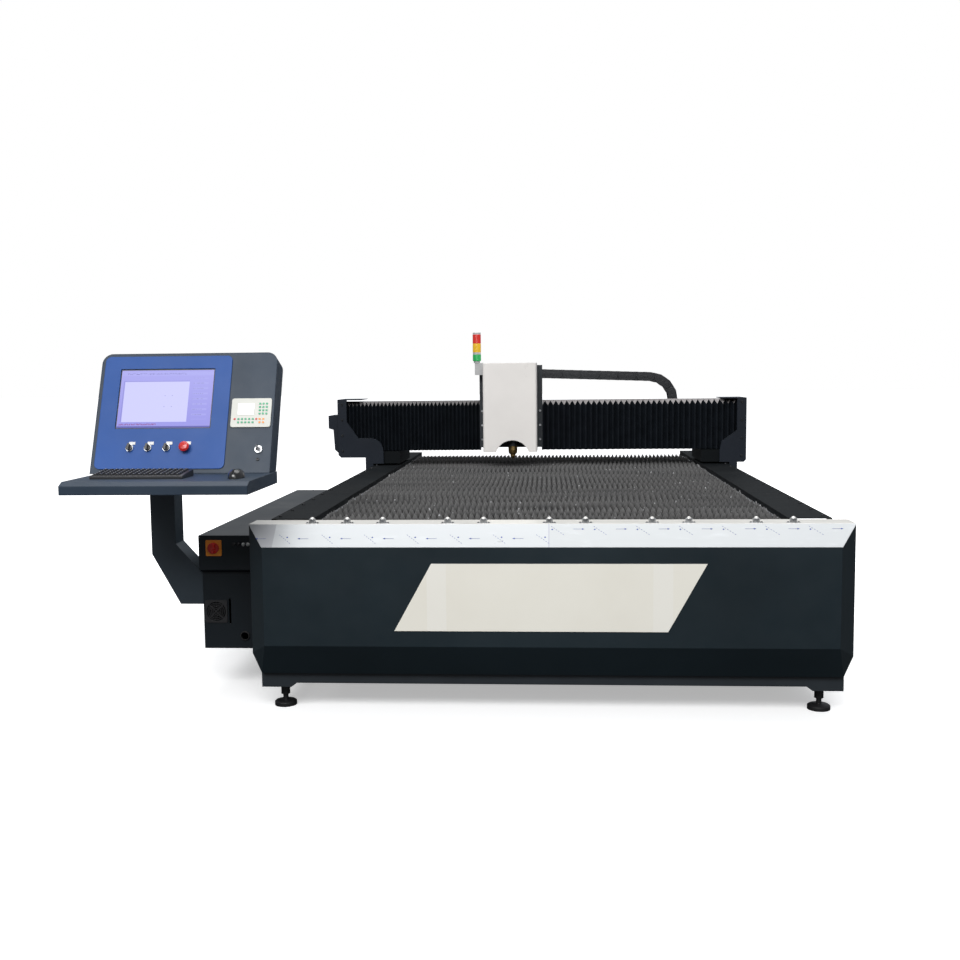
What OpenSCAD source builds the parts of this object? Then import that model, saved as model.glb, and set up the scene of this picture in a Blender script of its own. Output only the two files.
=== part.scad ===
// Fiber laser cutting machine: slat bed, moving gantry, cutting head, side cabinet and console
// Millimetres. X runs across the bed, Y from the front to the rear, Z up from the floor

/* [Bed frame] */
// Length of the bed from the front cover to the rear cover
bed_len = 3800; // [3760:10:4000]
// Height of the slat tips above the floor
table_z = 708; // [704:1:720]
// Distance from the bed centreline to the inner face of a rail beam
beam_in = 890; // [888:1:892]
// Width of a rail beam
beam_w = 120; // [118:1:122]
// Height of a rail beam
beam_h = 180; // [160:1:184]
// Drop from the slat tips to the top of the rail beams
beam_drop = 68; // [66:1:70]
// Wall of the welded tubes
tube_wall = 8; // [5:1:12]
// Distance from the bed centreline to the inner face of a sill
sill_in = 930; // [920:1:940]
// Width of a sill
sill_w = 130; // [124:1:134]
// Height of a sill
sill_h = 112; // [102:1:116]
// Underside of the sills above the floor
sill_z = 105; // [100:1:110]
// Overhang of the front end plate of a sill
sill_lip = 13; // [5:1:16]
// Length of a post along the bed
post_len = 80; // [60:1:100]
// Width of a cross member
member_w = 100; // [80:1:110]
// Depth of the rear cover
rear_depth = 40; // [30:1:50]
// Thickness of the sheet metal covers
sheet_t = 3; // [2:0.5:4]

/* [Front cover] */
// Width over the outer edges
apron_w = 2200; // [2160:2:2220]
// Depth from the face to the outer edges
apron_depth = 80; // [60:1:90]
// Width of the flat face
face_w = 2068; // [2000:2:2080]
// Height of the upper edge of the flat face
face_top = 633; // [620:1:650]
// Height of the lower edge of the flat face
face_bottom = 270; // [240:1:300]
// Height of the lower outer edge
apron_bottom = 147; // [140:1:155]
// Height of the chamfer at the lower corners
apron_corner_h = 77; // [60:1:90]
// Width of the chamfer at the lower corners
apron_corner_w = 33; // [20:1:40]
// Gap from the outer edges to the frame, bridged by a return flange
apron_return = 20; // [15:1:40]
// Thickness of the bright strip along the upper edge
strip_t = 2; // [1.5:0.5:3]
// Length of the flat lip of the strip
lip_len = 115; // [105:1:118]
// Width of the blank name plate
plate_w = 983; // [800:1:1100]
// Height of the blank name plate
plate_h = 246; // [200:1:280]
// Sideways lean of the name plate over its height
plate_slant = 137; // [100:1:160]
// Thickness of the name plate
plate_t = 3; // [2:0.5:5]

/* [Ball transfer units] */
// Radius of a ball
ball_r = 9; // [7:0.5:10]
// Radius of a ball cup
ball_cup_r = 13; // [12:0.5:16]
// Clearance of a ball in its cup
ball_fit = 0.3; // [0.2:0.05:0.5]
// Number of ball pairs
ball_pairs = 5; // [3:1:5]
// Distance from pair to pair
ball_pair_pitch = 372.5; // [340:0.5:380]
// Distance between the balls of a pair
ball_pair_gap = 132; // [100:1:150]
// Distance of the balls from the front edge of the lip
ball_inset = 25; // [20:1:35]

/* [Slats] */
// Free length between the last slat and the rear cover
rear_bay = 240; // [230:1:260]
// Distance from slat to slat
slat_pitch = 78; // [70:1:80]
// Distance of the first slat from the front face
slat_first = 222; // [215:1:230]
// Thickness of a slat
slat_t = 6; // [3:0.5:8]
// Height of a slat
slat_h = 100; // [90:1:110]
// Number of teeth on a slat
tooth_count = 33; // [20:1:33]
// Height of a tooth
tooth_h = 26; // [18:1:32]
// Thickness of a slat comb
comb_t = 12; // [8:1:16]
// Depth of a slat comb below the slats
comb_depth = 38; // [30:1:45]
// Clearance of a slat in its comb slot, each side
slat_fit = 0.3; // [0.2:0.05:1]

/* [Feet] */
// Distance of the feet from the bed centreline
foot_x = 1003; // [995:1:1010]
// Radius of a foot pad
foot_pad_r = 42; // [36:1:50]
// Radius of a levelling stud
stud_r = 10; // [8:0.5:12]
// Height of a foot block under the sill
foot_block_h = 16; // [12:1:20]
// Height of a foot pad
foot_pad_h = 18; // [12:1:20]
// Height of the threaded sleeve under a foot block
sleeve_h = 46; // [40:1:50]
// Clearance of a stud in its block
stud_fit = 0.05; // [0.02:0.01:0.1]

/* [Guides] */
// Width of a guide rail
rail_w = 28; // [24:1:30]
// Height of a guide rail on the bed
rail_h = 28; // [26:1:29]
// Clearance between a rail and its bearing blocks
rail_fit = 0.3; // [0.2:0.05:0.5]
// Width of a bearing block
bearing_w = 60; // [50:1:64]
// Length of a bearing block
bearing_len = 110; // [90:1:130]
// Width of the rack bars
rack_w = 20; // [15:1:22]
// Height of the rack bars
rack_h = 30; // [20:1:35]
// Overhang of a rail cover beyond its beam
cover_over = 35; // [33:1:37]
// Rise of the rail covers above the slat tips
cover_rise = 4; // [2:1:6]
// Number of cover sections along a rail
cover_sections = 4; // [2:1:5]
// Joint between two cover sections
cover_gap = 1.5; // [1:0.5:3]

/* [Gantry] */
// Distance from the front of the gantry to the rear end of the bed, at rest
gantry_back = 1145; // [1120:5:1200]
// Length of the saddles along the bed
saddle_len = 470; // [440:1:480]
// Top of the saddles above the rail covers
saddle_rise = 82; // [80:1:84]
// Gap between a rail cover and the saddle leg
leg_gap = 5; // [4:0.5:8]
// Thickness of the saddle leg
leg_t = 45; // [35:1:48]
// Thickness of the plate under the rail cover
saddle_plate_t = 16; // [12:1:17]
// Depth of the gantry beam along the bed
gbeam_d = 190; // [170:1:195]
// Height of the gantry beam
gbeam_h = 234; // [232:1:236]
// Height of the pads between the saddles and the beam
gbeam_pad = 34; // [33:1:36]
// Distance from the gantry front to the beam
gbeam_set = 74; // [72:1:76]
// Outer face of the left end cover from the bed centreline
end_left = 1258; // [1250:1:1266]
// Outer face of the right end cover from the bed centreline
end_right = 1146; // [1142:1:1156]
// Thickness of the end cover fronts
end_t = 18; // [14:1:18]
// Thickness of the top of the end covers
end_cap_t = 4; // [3:0.5:4.5]
// Width of the cap on top of an end cover
end_cap_w = 140; // [60:1:145]
// Width of the end cover uprights
end_w = 54; // [50:1:60]
// Thickness of the end cover side walls
end_wall = 8; // [6:1:10]
// Number of pleats in a bellows
pleat_count = 36; // [24:1:38]
// Depth of a pleat
pleat_d = 24; // [20:1:25]

/* [Cutting head] */
// Centre of the carriage from the bed centreline, at rest
carriage_x = -225; // [-260:5:-190]
// Width of the head cover
hood_w = 310; // [290:2:316]
// Depth of the head cover in front of the gantry
hood_d = 175; // [165:1:190]
// Width of the carriage plate beside the head cover
plate_over = 30; // [20:1:32]
// Height of the lower edge of the head cover
hood_z = 800; // [790:1:810]
// Height of the head cover
hood_h = 510; // [500:1:530]
// Radius of the upright edges of the head cover
hood_r = 14; // [8:1:20]
// Radius of the arch cut into the front of the head cover
arch_r = 100; // [80:1:110]
// Centre of the arch below the lower edge
arch_drop = 34; // [25:1:40]
// Height of the nozzle tip
nozzle_z = 758; // [756:1:765]
// Distance of the nozzle axis from the gantry front
nozzle_y = 95; // [90:1:100]
// Radius of the signal lamp
lamp_r = 24; // [20:1:26]
// Radius of the rod through the lenses
lamp_rod_r = 6; // [4:0.5:8]
// Height of the signal lamp above its bracket
lamp_h = 175; // [150:1:190]

/* [Drag chain] */
// Distance from pin to pin
link_pitch = 56; // [55:0.5:57]
// Height of a link
link_h = 54; // [50:1:54]
// Width of the chain
chain_w = 75; // [70:1:76]
// Thickness of a link plate
link_t = 5; // [4:0.5:6]
// Clearance between two links
link_fit = 0.4; // [0.3:0.05:0.6]
// Radius of a link pin
pin_r = 7; // [5:0.5:9]
// Slope of the upper run
chain_slope = 2.1; // [1:0.1:2.5]
// Height of the chain at the carriage
chain_z = 1247; // [1240:1:1252]
// Links in the upper run
upper_links = 12; // [11:1:13]
// Links in the bend
bend_links = 8; // [8:1:8]
// Links in the lower run
lower_links = 9; // [7:1:9]

/* [Cabinet] */
// Width of the cabinet
cab_w = 304; // [296:1:330]
// Front of the cabinet from the front cover
cab_y = 300; // [290:1:310]
// Length of the cabinet
cab_len = 1710; // [1705:1:1715]
// Underside of the cabinet
cab_z = 176; // [165:1:180]
// Height of the cabinet
cab_h = 458; // [454:1:470]
// Depth of the recess in the lower front
recess_d = 40; // [30:1:50]
// Height of the recess above the underside
recess_h = 306; // [300:1:312]
// Height of the fold over the recess
fold_h = 16; // [10:1:20]
// Length of a door
door_len = 690; // [670:1:692]
// Thickness of a door
door_t = 20; // [16:1:24]
// Height of a door
door_h = 380; // [360:1:384]
// Clearance behind a door
door_gap = 1; // [0.5:0.1:2]
// Radius of a door hinge pin
hinge_r = 4; // [3:0.5:5]
// Clearance of the hinge pins
hinge_fit = 0.05; // [0.02:0.01:0.1]
// Radius of the hose port in the lower front
port_r = 15; // [12:0.5:18]
// Side of the fan grille
fan_side = 90; // [84:1:94]
// Side of the main switch plate
switch_side = 63; // [56:1:66]
// Width of the laser source
source_w = 123; // [100:1:126]
// Length of the laser source
source_len = 620; // [500:1:630]
// Height of the laser source
source_h = 328; // [260:1:360]
// Radius of the main switch knob
knob_r = 22; // [18:0.5:24]
// Radius of the shaft of the main switch
shaft_r = 8; // [6:0.5:9]

/* [Console] */
// Width of the console housing
con_w = 674; // [670:1:680]
// Left edge of the console housing from the bed centreline
con_left = 1684; // [1678:1:1690]
// Depth of the console housing
con_t = 90; // [80:1:92]
// Height of the top of the console housing
con_top = 1341; // [1330:1:1350]
// Lean of the panel from upright
panel_tilt = 22; // [21:0.5:23]
// Radius of the upper corners of the housing
con_r = 40; // [20:1:50]
// Width of the tray
tray_w = 654; // [640:1:658]
// Front edge of the tray before the front cover
tray_front = 270; // [260:1:280]
// Rear edge of the tray behind the front cover
tray_back = 140; // [136:1:142]
// Underside of the tray
tray_z = 855; // [850:1:858]
// Height of the tray
tray_h = 44; // [40:1:46]
// Height of the front lip of the tray
tray_lip = 31; // [28:1:34]
// Depth of the bevel behind the front lip
tray_bevel = 27; // [20:1:30]
// Width of the panel bezel
bezel_w = 488; // [480:1:492]
// Height of the panel bezel
bezel_h = 446; // [440:1:448]
// Thickness of the panel bezel
bezel_t = 4; // [3:0.5:6]
// Width of the screen
screen_w = 360; // [350:1:366]
// Height of the screen
screen_h = 236; // [220:1:240]
// Width of the arm post
arm_w = 97; // [90:1:100]
// Depth of the arm
arm_d = 100; // [90:1:110]
// Height of the arm's neck under the tray
neck_h = 32; // [26:1:32]
// Length of the neck under the tray
neck_len = 110; // [90:1:120]
// Wall of the arm
arm_wall = 5; // [4:0.5:8]
// Width of the keyboard
keyb_w = 332; // [320:1:340]
// Depth of the keyboard
keyb_d = 126; // [115:1:130]
// Thickness of the keyboard at its rear edge
keyb_t = 24; // [18:1:28]
// Width of the height control keypad
keypad_w = 150; // [140:1:152]
// Height of the height control keypad
keypad_h = 113; // [105:1:118]
// Radius of a switch bezel
ring_r = 14; // [12:0.5:15]
// Height of a switch bezel
ring_h = 6; // [4:0.5:8]
// Radius of the shank of a panel switch
shank_r = 9; // [7:0.5:9.5]
// Clearance of a shank in its switch bezel
shank_fit = 0.05; // [0.02:0.01:0.1]
// Radius of the emergency stop button
stop_r = 19; // [16:0.5:20]
// Press travel of the emergency stop button
stop_travel = 5; // [4:0.5:5.5]

/* [Slag drawers] */
// Depth of a drawer behind its front panel
drawer_d = 1900; // [1850:10:1920]
// Height of a drawer
drawer_h = 232; // [200:1:234]
// Clearance under a drawer
drawer_fit = 0.3; // [0.2:0.05:0.5]
// Clearance beside a drawer
drawer_side = 6; // [4:0.5:10]
// Thickness of a drawer front
drawer_front_t = 18; // [14:1:20]

/* [Hidden] */
$fn = 48;
cut = 1;

beam_top = table_z - beam_drop;
beam_bot = beam_top - beam_h;
beam_out = beam_in + beam_w;
sill_out = sill_in + sill_w;
sill_top = sill_z + sill_h;
frame_y0 = apron_depth + apron_return;
frame_y1 = bed_len - rear_depth;
strip_z = table_z - strip_t;
lip_y1 = apron_depth + lip_len;
header_d = 60;
header_y0 = lip_y1 - 5 - header_d;
post_y = [frame_y0 + 30, bed_len / 2 - post_len / 2, frame_y1 - 60 - post_len];
member_mid = bed_len / 2 - member_w / 2;
member_last = frame_y1 - member_w;
member_y = [frame_y0, (frame_y0 + member_mid) / 2, member_mid, (member_mid + member_last) / 2, member_last];
foot_y = [frame_y0 + 78, bed_len / 2, frame_y1 - 78];
slat_z0 = table_z - slat_h;
cover_top = table_z + cover_rise;
cover_out = beam_out + cover_over;
cover_y0 = lip_y1 + 5;
flange_z = beam_top - 80;
comb_out = beam_in - 4;
slat_x = comb_out - 2;
slat_count = floor((frame_y1 - rear_bay - slat_first) / slat_pitch) + 1;
slat_last = slat_first + (slat_count - 1) * slat_pitch;
rail_x = beam_in + 65;
rail_y0 = frame_y0 + 50;
rail_y1 = frame_y1 - 10;
rail_top = beam_top + rail_h;

gy = bed_len - gantry_back;
saddle_top = cover_top + saddle_rise;
saddle_z0 = rail_top + 8;
leg_x = cover_out + leg_gap;
leg_out = leg_x + leg_t;
over_gap = 10;
gbeam_y0 = gy + gbeam_set;
gbeam_y1 = gbeam_y0 + gbeam_d;
gbeam_z0 = saddle_top + gbeam_pad;
gbeam_z1 = gbeam_z0 + gbeam_h;
xrail_h = 18;
xrail_z = [gbeam_z0 + 45, gbeam_z1 - 45];
bell_gap = 2;
bell_wall = 4;
bell_z0 = gbeam_z0 - bell_gap - bell_wall - pleat_d;
bell_z1 = gbeam_z1 + bell_gap + bell_wall + pleat_d;
bell_y0 = gy + end_t + 4;
bell_y1 = gy + 105;
hood_x0 = carriage_x - hood_w / 2;
hood_x1 = carriage_x + hood_w / 2;
hood_top = hood_z + hood_h;
lamp_x = hood_x0 - 39;
lamp_y = gy - 55;
lamp_foot = hood_top + 3;
lamp_top = lamp_foot + lamp_h;
plate_half = hood_w / 2 + plate_over;
car_y0 = gy + 16;
car_y1 = gy + 36;
nozzle_x = carriage_x + 13;
axis_y = gy - nozzle_y;

chain_x0 = carriage_x + 167;
chain_y0 = gbeam_y1 + 21;
chain_y1 = chain_y0 + chain_w;
bend_step = (180 - chain_slope) / bend_links;
bend_r = link_pitch / (2 * sin(bend_step / 2));
upper_len = upper_links * link_pitch;
bend_x = chain_x0 + upper_len * cos(chain_slope) - bend_r * sin(chain_slope);
bend_z = chain_z - upper_len * sin(chain_slope) - bend_r * cos(chain_slope);
lower_z = bend_z - bend_r;
lower_x = bend_x - lower_links * link_pitch;
shelf_top = lower_z - link_h / 2;

cab_right = -sill_out;
cab_left = cab_right - cab_w;
cab_y1 = cab_y + cab_len;
cab_top = cab_z + cab_h;
low_y = cab_y + recess_d;
door_x = cab_left - door_gap - door_t / 2;
door_z0 = cab_z + 44;
door_z1 = door_z0 + door_h;
door_y = [cab_y + 270, cab_y1 - 40];
fan_x = cab_left + 51;
fan_z = cab_z + 149;
port_x = cab_left + 164;
port_z = cab_z + 51;
knob_x = cab_left + 61;
knob_z = cab_top - 49;
switch_t = 4;

tray_top = tray_z + tray_h;
con_x0 = -con_left;
con_x1 = con_x0 + con_w;
panel = [con_x0 + 259, 143.5, tray_top + 223];
con_up = (con_top - panel[2]) / cos(panel_tilt);
con_down = (panel[2] - tray_top) / cos(panel_tilt);
switch_v = 81 - bezel_h / 2;
switch_u = [-116, -47, 23, 94];
key_u = 368;
key_v = switch_v - 7;
screen_v = 53;
arm_y0 = low_y + 10;
arm_y1 = arm_y0 + arm_d;
arm_foot_z = cab_z + 176;
post_x0 = cab_left - 205;
keyb_x0 = con_x0 + 87;
keyb_y0 = 114 - tray_front;

drawer_x1 = sill_out + 2;
drawer_z0 = sill_top + drawer_fit;
drawer_z1 = drawer_z0 + drawer_h;

mid_x = (con_x0 + end_right) / 2;
mid_y = (bed_len - tray_front) / 2;

paint_dark = [0.17, 0.2, 0.23];
paint_black = [0.08, 0.08, 0.09];
steel = [0.72, 0.73, 0.74];
paint_light = [0.86, 0.86, 0.84];

// Moves everything so that the origin is under the middle of the whole machine
module placed() translate([-mid_x, -mid_y, 0]) children();

// A box given by its two far corners
module block(lo, hi) translate(lo) cube(hi - lo);

// An outline in X and Z drawn out along Y
module along_y(y0, y1) translate([0, y1, 0]) rotate([90, 0, 0]) linear_extrude(y1 - y0) children();

// An outline in Y and Z drawn out along X
module along_x(x0, x1) translate([x0, 0, 0]) rotate([90, 0, 90]) linear_extrude(x1 - x0) children();

// The same thing on the right and on the left
module both_sides() {
    children();
    mirror([1, 0, 0]) children();
}

// A round bar along Y
module bar_y(x, z, r, y0, y1) translate([x, y1, z]) rotate([90, 0, 0]) cylinder(r = r, h = y1 - y0);

// A rectangular tube that is open along Y
module tube_y(lo, hi, wall) {
    difference() {
        block(lo, hi);
        block(lo + [wall, -cut, wall], hi + [-wall, cut, -wall]);
    }
}

// A rectangular tube that is open along X
module tube_x(lo, hi, wall) {
    difference() {
        block(lo, hi);
        block(lo + [-cut, wall, wall], hi + [cut, -wall, -wall]);
    }
}

// A rectangle with four round corners, centred
module round_rect(w, h, r) {
    square([w - 2 * r, h], center = true);
    square([w, h - 2 * r], center = true);
    for (sx = [-1, 1], sy = [-1, 1]) {
        translate([sx * (w / 2 - r), sy * (h / 2 - r)]) circle(r = r);
    }
}

// Panel coordinates: x to the right, y up the panel, z out of the panel
module on_panel() translate(panel) rotate([90 - panel_tilt, 0, 0]) children();

// One rail beam with its rack bar, right side
module rail_beam() {
    tube_y([beam_in, frame_y0, beam_bot], [beam_out, frame_y1, beam_top], tube_wall);
    block([beam_out, rail_y0, beam_top - 10 - rack_h], [beam_out + rack_w, rail_y1, beam_top - 10]);
}

module rail_beam_left() color(paint_dark) placed() mirror([1, 0, 0]) rail_beam();

module rail_beam_right() color(paint_dark) placed() rail_beam();

module side_sills() color(paint_dark) placed() both_sides() {
    difference() {
        union() {
            tube_y([sill_in, frame_y0, sill_z], [sill_out, frame_y1, sill_top], tube_wall);
            along_y(frame_y0, frame_y0 + tube_wall) polygon([
                [sill_out + sill_lip, sill_top], [sill_out + sill_lip, sill_z - foot_block_h],
                [sill_in + 32, sill_z - foot_block_h], [sill_in + 10, sill_z],
                [sill_in, sill_z], [sill_in, sill_top]
            ]);
            for (y = foot_y) {
                along_y(y - 62, y + 62) polygon([
                    [sill_out, sill_z], [sill_out, sill_z - foot_block_h],
                    [sill_in + 32, sill_z - foot_block_h], [sill_in + 10, sill_z]
                ]);
            }
        }
        for (y = foot_y) {
            translate([foot_x, y, 0]) cylinder(r = stud_r + stud_fit, h = sill_z + tube_wall + cut);
        }
    }
}

module frame_posts() color(paint_dark) placed() both_sides() {
    for (y = post_y) {
        difference() {
            block([sill_in, y, sill_top], [beam_out, y + post_len, beam_bot]);
            block([sill_in + tube_wall, y + tube_wall, sill_top - cut],
                  [beam_out - tube_wall, y + post_len - tube_wall, beam_bot + cut]);
        }
    }
}

module cross_members() color(paint_dark) placed() {
    for (y = member_y) {
        tube_x([-sill_in, y, sill_z], [sill_in, y + member_w, sill_top], tube_wall);
    }
    tube_x([-beam_in, header_y0, beam_bot + 80], [beam_in, header_y0 + header_d, strip_z], tube_wall);
    tube_x([-beam_in, slat_last + 60, beam_bot + 10], [beam_in, slat_last + 60 + header_d, flange_z], tube_wall);
}

// Outer edge of the front cover, drawn in by d
function apron_edge(d) = [
    [-apron_w / 2 + d, strip_z - d], [apron_w / 2 - d, strip_z - d],
    [apron_w / 2 - d, apron_bottom + apron_corner_h],
    [apron_w / 2 - apron_corner_w - d, apron_bottom + d],
    [-apron_w / 2 + apron_corner_w + d, apron_bottom + d],
    [-apron_w / 2 + d, apron_bottom + apron_corner_h]
];

// Flat face of the front cover, drawn in by d
function apron_face(d) = [
    [-face_w / 2 + d, face_top - d], [face_w / 2 - d, face_top - d],
    [face_w / 2 - d, face_bottom + d], [-face_w / 2 + d, face_bottom + d]
];

module front_apron() color(paint_dark) placed() {
    difference() {
        hull() {
            along_y(0, 0.01) polygon(apron_face(0));
            along_y(apron_depth, apron_depth + 0.01) polygon(apron_edge(0));
        }
        hull() {
            along_y(sheet_t, sheet_t + 0.01) polygon(apron_face(sheet_t));
            along_y(apron_depth, apron_depth + 0.02) polygon(apron_edge(sheet_t));
        }
    }
    along_y(apron_depth, frame_y0) difference() {
        polygon(apron_edge(0));
        polygon(apron_edge(sheet_t));
    }
}

// Places of the ball transfer units along the strip
ball_x0 = 73.5 - (ball_pairs - 1) / 2 * ball_pair_pitch;
ball_x = concat(
    [ball_x0 - ball_pair_pitch / 2 - 10],
    [for (i = [0 : ball_pairs - 1], s = [-0.5, 0.5]) ball_x0 + i * ball_pair_pitch + s * ball_pair_gap]
);
ball_y = apron_depth + ball_inset;
ball_z = table_z + ball_r + 5;

module front_strip() color(steel) placed() {
    slope = atan2(strip_z - face_top, apron_depth);
    bend = strip_t * tan(slope / 2);
    intersection() {
        along_x(-apron_w, apron_w) polygon([
            [0, face_top], [-strip_t * sin(slope), face_top + strip_t * cos(slope)],
            [apron_depth - bend, table_z], [lip_y1, table_z], [lip_y1, strip_z], [apron_depth, strip_z]
        ]);
        along_y(-10, lip_y1 + cut) polygon([
            [-face_w / 2, face_top], [face_w / 2, face_top], [apron_w / 2, strip_z], [apron_w / 2, table_z + cut],
            [-apron_w / 2, table_z + cut], [-apron_w / 2, strip_z]
        ]);
    }
    for (x = ball_x) translate([x, ball_y, 0]) difference() {
        translate([0, 0, table_z]) cylinder(r = ball_cup_r, h = ball_r + 7);
        translate([0, 0, ball_z]) sphere(r = ball_r + ball_fit);
    }
}

module name_plate() color([0.9, 0.87, 0.78]) placed() {
    z0 = (face_top + face_bottom) / 2 - plate_h / 2;
    translate([6, 0, z0]) along_y(-plate_t, 0) polygon([
        [-(plate_w + plate_slant) / 2, 0], [(plate_w - plate_slant) / 2, 0],
        [(plate_w + plate_slant) / 2, plate_h], [-(plate_w - plate_slant) / 2, plate_h]
    ]);
}

module transfer_balls() color(steel) placed() {
    for (x = ball_x) translate([x, ball_y, ball_z]) sphere(r = ball_r);
}

module slats() color([0.45, 0.33, 0.26]) placed() {
    tooth_w = 2 * slat_x / tooth_count;
    outline = concat(
        [[-slat_x, slat_z0], [slat_x, slat_z0]],
        [for (i = [tooth_count : -1 : 1], s = [0, 0.5])
            [-slat_x + (i - s) * tooth_w, s == 0 ? table_z - tooth_h : table_z]],
        [[-slat_x, table_z - tooth_h]]
    );
    for (i = [0 : slat_count - 1]) {
        translate([0, slat_first + i * slat_pitch, 0]) along_y(0, slat_t) polygon(outline);
    }
}

module slat_combs() color(paint_dark) placed() both_sides() difference() {
    block([comb_out - comb_t, lip_y1 + 8, slat_z0 - comb_depth], [comb_out, slat_last + 40, table_z - 18]);
    for (i = [0 : slat_count - 1]) {
        y = slat_first + i * slat_pitch;
        block([comb_out - comb_t - cut, y - slat_fit, slat_z0], [comb_out + cut, y + slat_t + slat_fit, table_z]);
    }
}

module y_rails() color(steel) placed() both_sides() {
    r = rail_w / 2;
    translate([rail_x, 0, beam_top]) along_y(rail_y0, rail_y1) polygon([
        [-r, 0], [r, 0], [r, 0.3 * rail_h], [r - 3, 0.5 * rail_h], [r, 0.7 * rail_h], [r, rail_h],
        [-r, rail_h], [-r, 0.7 * rail_h], [3 - r, 0.5 * rail_h], [-r, 0.3 * rail_h]
    ]);
}

module rail_covers() color(paint_black) placed() both_sides() {
    step = (frame_y1 - cover_y0 + cover_gap) / cover_sections;
    for (i = [0 : cover_sections - 1]) {
        along_y(cover_y0 + i * step, cover_y0 + (i + 1) * step - cover_gap) polygon([
            [comb_out, flange_z], [beam_in, flange_z], [beam_in, cover_top - sheet_t],
            [cover_out - sheet_t, cover_top - sheet_t], [cover_out - sheet_t, cover_top - 14],
            [cover_out, cover_top - 14], [cover_out, cover_top], [comb_out, cover_top]
        ]);
    }
}

module rear_cover() color(paint_dark) placed() difference() {
    block([-sill_out, frame_y1, sill_z], [sill_out, bed_len, beam_top]);
    block([-sill_out + sheet_t, frame_y1 - cut, sill_z + sheet_t],
          [sill_out - sheet_t, bed_len - sheet_t, beam_top - sheet_t]);
}

module left_panel() color(paint_dark) placed() {
    block([-sill_out - sheet_t, cab_y1 + 10, sill_z], [-sill_out, frame_y1 - 20, beam_top - 50]);
    block([-sill_out - cut, cab_y1 + 10, beam_top - 50 - sheet_t], [-beam_out, frame_y1 - 20, beam_top - 50]);
}

module levelling_feet() color(steel) placed() both_sides() {
    for (y = foot_y) translate([foot_x, y, 0]) {
        rotate_extrude() polygon([
            [0, 0], [foot_pad_r, 0], [foot_pad_r, foot_pad_h - 4], [foot_pad_r - 5, foot_pad_h],
            [stud_r, foot_pad_h + 4],
            [stud_r, sill_z + tube_wall + 10], [0, sill_z + tube_wall + 10]
        ]);
        translate([0, 0, sill_z - foot_block_h - sleeve_h]) cylinder(r = stud_r + 7, h = sleeve_h);
    }
}

module cabinet_front() color(paint_dark) placed() difference() {
    along_x(cab_left, cab_right) polygon([
        [cab_y, cab_top], [cab_y, cab_z + recess_h + fold_h], [low_y, cab_z + recess_h], [low_y, cab_z],
        [low_y + sheet_t, cab_z], [low_y + sheet_t, cab_z + recess_h + 1],
        [cab_y + sheet_t, cab_z + recess_h + fold_h + 1], [cab_y + sheet_t, cab_top]
    ]);
    bar_y(fan_x, fan_z, fan_side / 2 - 8, low_y - cut, low_y + sheet_t + cut);
    bar_y(port_x, port_z, port_r, low_y - cut, low_y + sheet_t + cut);
    bar_y(knob_x, knob_z, shaft_r + 1, cab_y - cut, cab_y + sheet_t + cut);
    block([cab_left + 102, low_y - cut, cab_z + 100], [cab_left + 110, low_y + sheet_t + cut, cab_z + 200]);
}

// A lug with a pin that carries a door
module door_lug(y, z0, z1, pin_z) {
    block([door_x - door_t / 2, y - 10, z0], [cab_left + cut, y + 10, z1]);
    translate([door_x, y, min(pin_z, z0)]) cylinder(r = hinge_r, h = max(pin_z, z1) - min(pin_z, z0));
}

module cabinet_frame() color(paint_dark) placed() {
    difference() {
        union() {
            block([cab_left, cab_y + sheet_t, cab_z + recess_h + fold_h + 6], [cab_right, cab_y1, cab_top]);
            block([cab_left, low_y + sheet_t, cab_z], [cab_right, cab_y1, cab_top - cut]);
        }
        block([cab_left + sheet_t, cab_y, cab_z + recess_h + fold_h + 6 + sheet_t],
              [cab_right - sheet_t, low_y + 2 * sheet_t + cut, cab_top - sheet_t]);
        block([cab_left + sheet_t, low_y, cab_z + sheet_t],
              [cab_right - sheet_t, cab_y1 - sheet_t, cab_top - sheet_t]);
        block([cab_left - cut, door_y[0] + 15, door_z0 + 12], [cab_left + 10, door_y[0] + door_len - 15, door_z1 - 12]);
        block([cab_left - cut, door_y[1] - door_len + 15, door_z0 + 12], [cab_left + 10, door_y[1] - 15, door_z1 - 12]);
    }
    for (y = door_y) {
        door_lug(y, door_z0 - 13, door_z0 - 1, door_z0 + 12);
        door_lug(y, door_z1 + 1, door_z1 + 13, door_z1 - 12);
    }
}

module fan_grille() color(paint_black) placed() {
    along_y(low_y - 5, low_y) translate([fan_x, fan_z]) {
        difference() {
            round_rect(fan_side, fan_side, 8);
            circle(r = fan_side / 2 - 4);
        }
        for (r = [12 : 7 : fan_side / 2 - 5]) difference() {
            circle(r = r + 1.5);
            circle(r = r - 1.5);
        }
        for (a = [45, 135]) rotate(a) square([fan_side - 4, 4], center = true);
    }
}

module switch_plate() color([0.95, 0.62, 0.1]) placed() difference() {
    translate([knob_x, 0, knob_z]) along_y(cab_y - switch_t, cab_y) round_rect(switch_side, switch_side, 5);
    bar_y(knob_x, knob_z, shaft_r + shank_fit, cab_y - switch_t - cut, cab_y + cut);
}

module main_switch_knob() color([0.75, 0.1, 0.08]) placed() {
    face = cab_y - switch_t - 0.3;
    bar_y(knob_x, knob_z, shaft_r, face - 2, cab_y + sheet_t + 6);
    bar_y(knob_x, knob_z, knob_r, face - 8, face);
    block([knob_x - 6, face - 20, knob_z - knob_r + 3], [knob_x + 6, face - 6, knob_z + knob_r - 3]);
}

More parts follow.
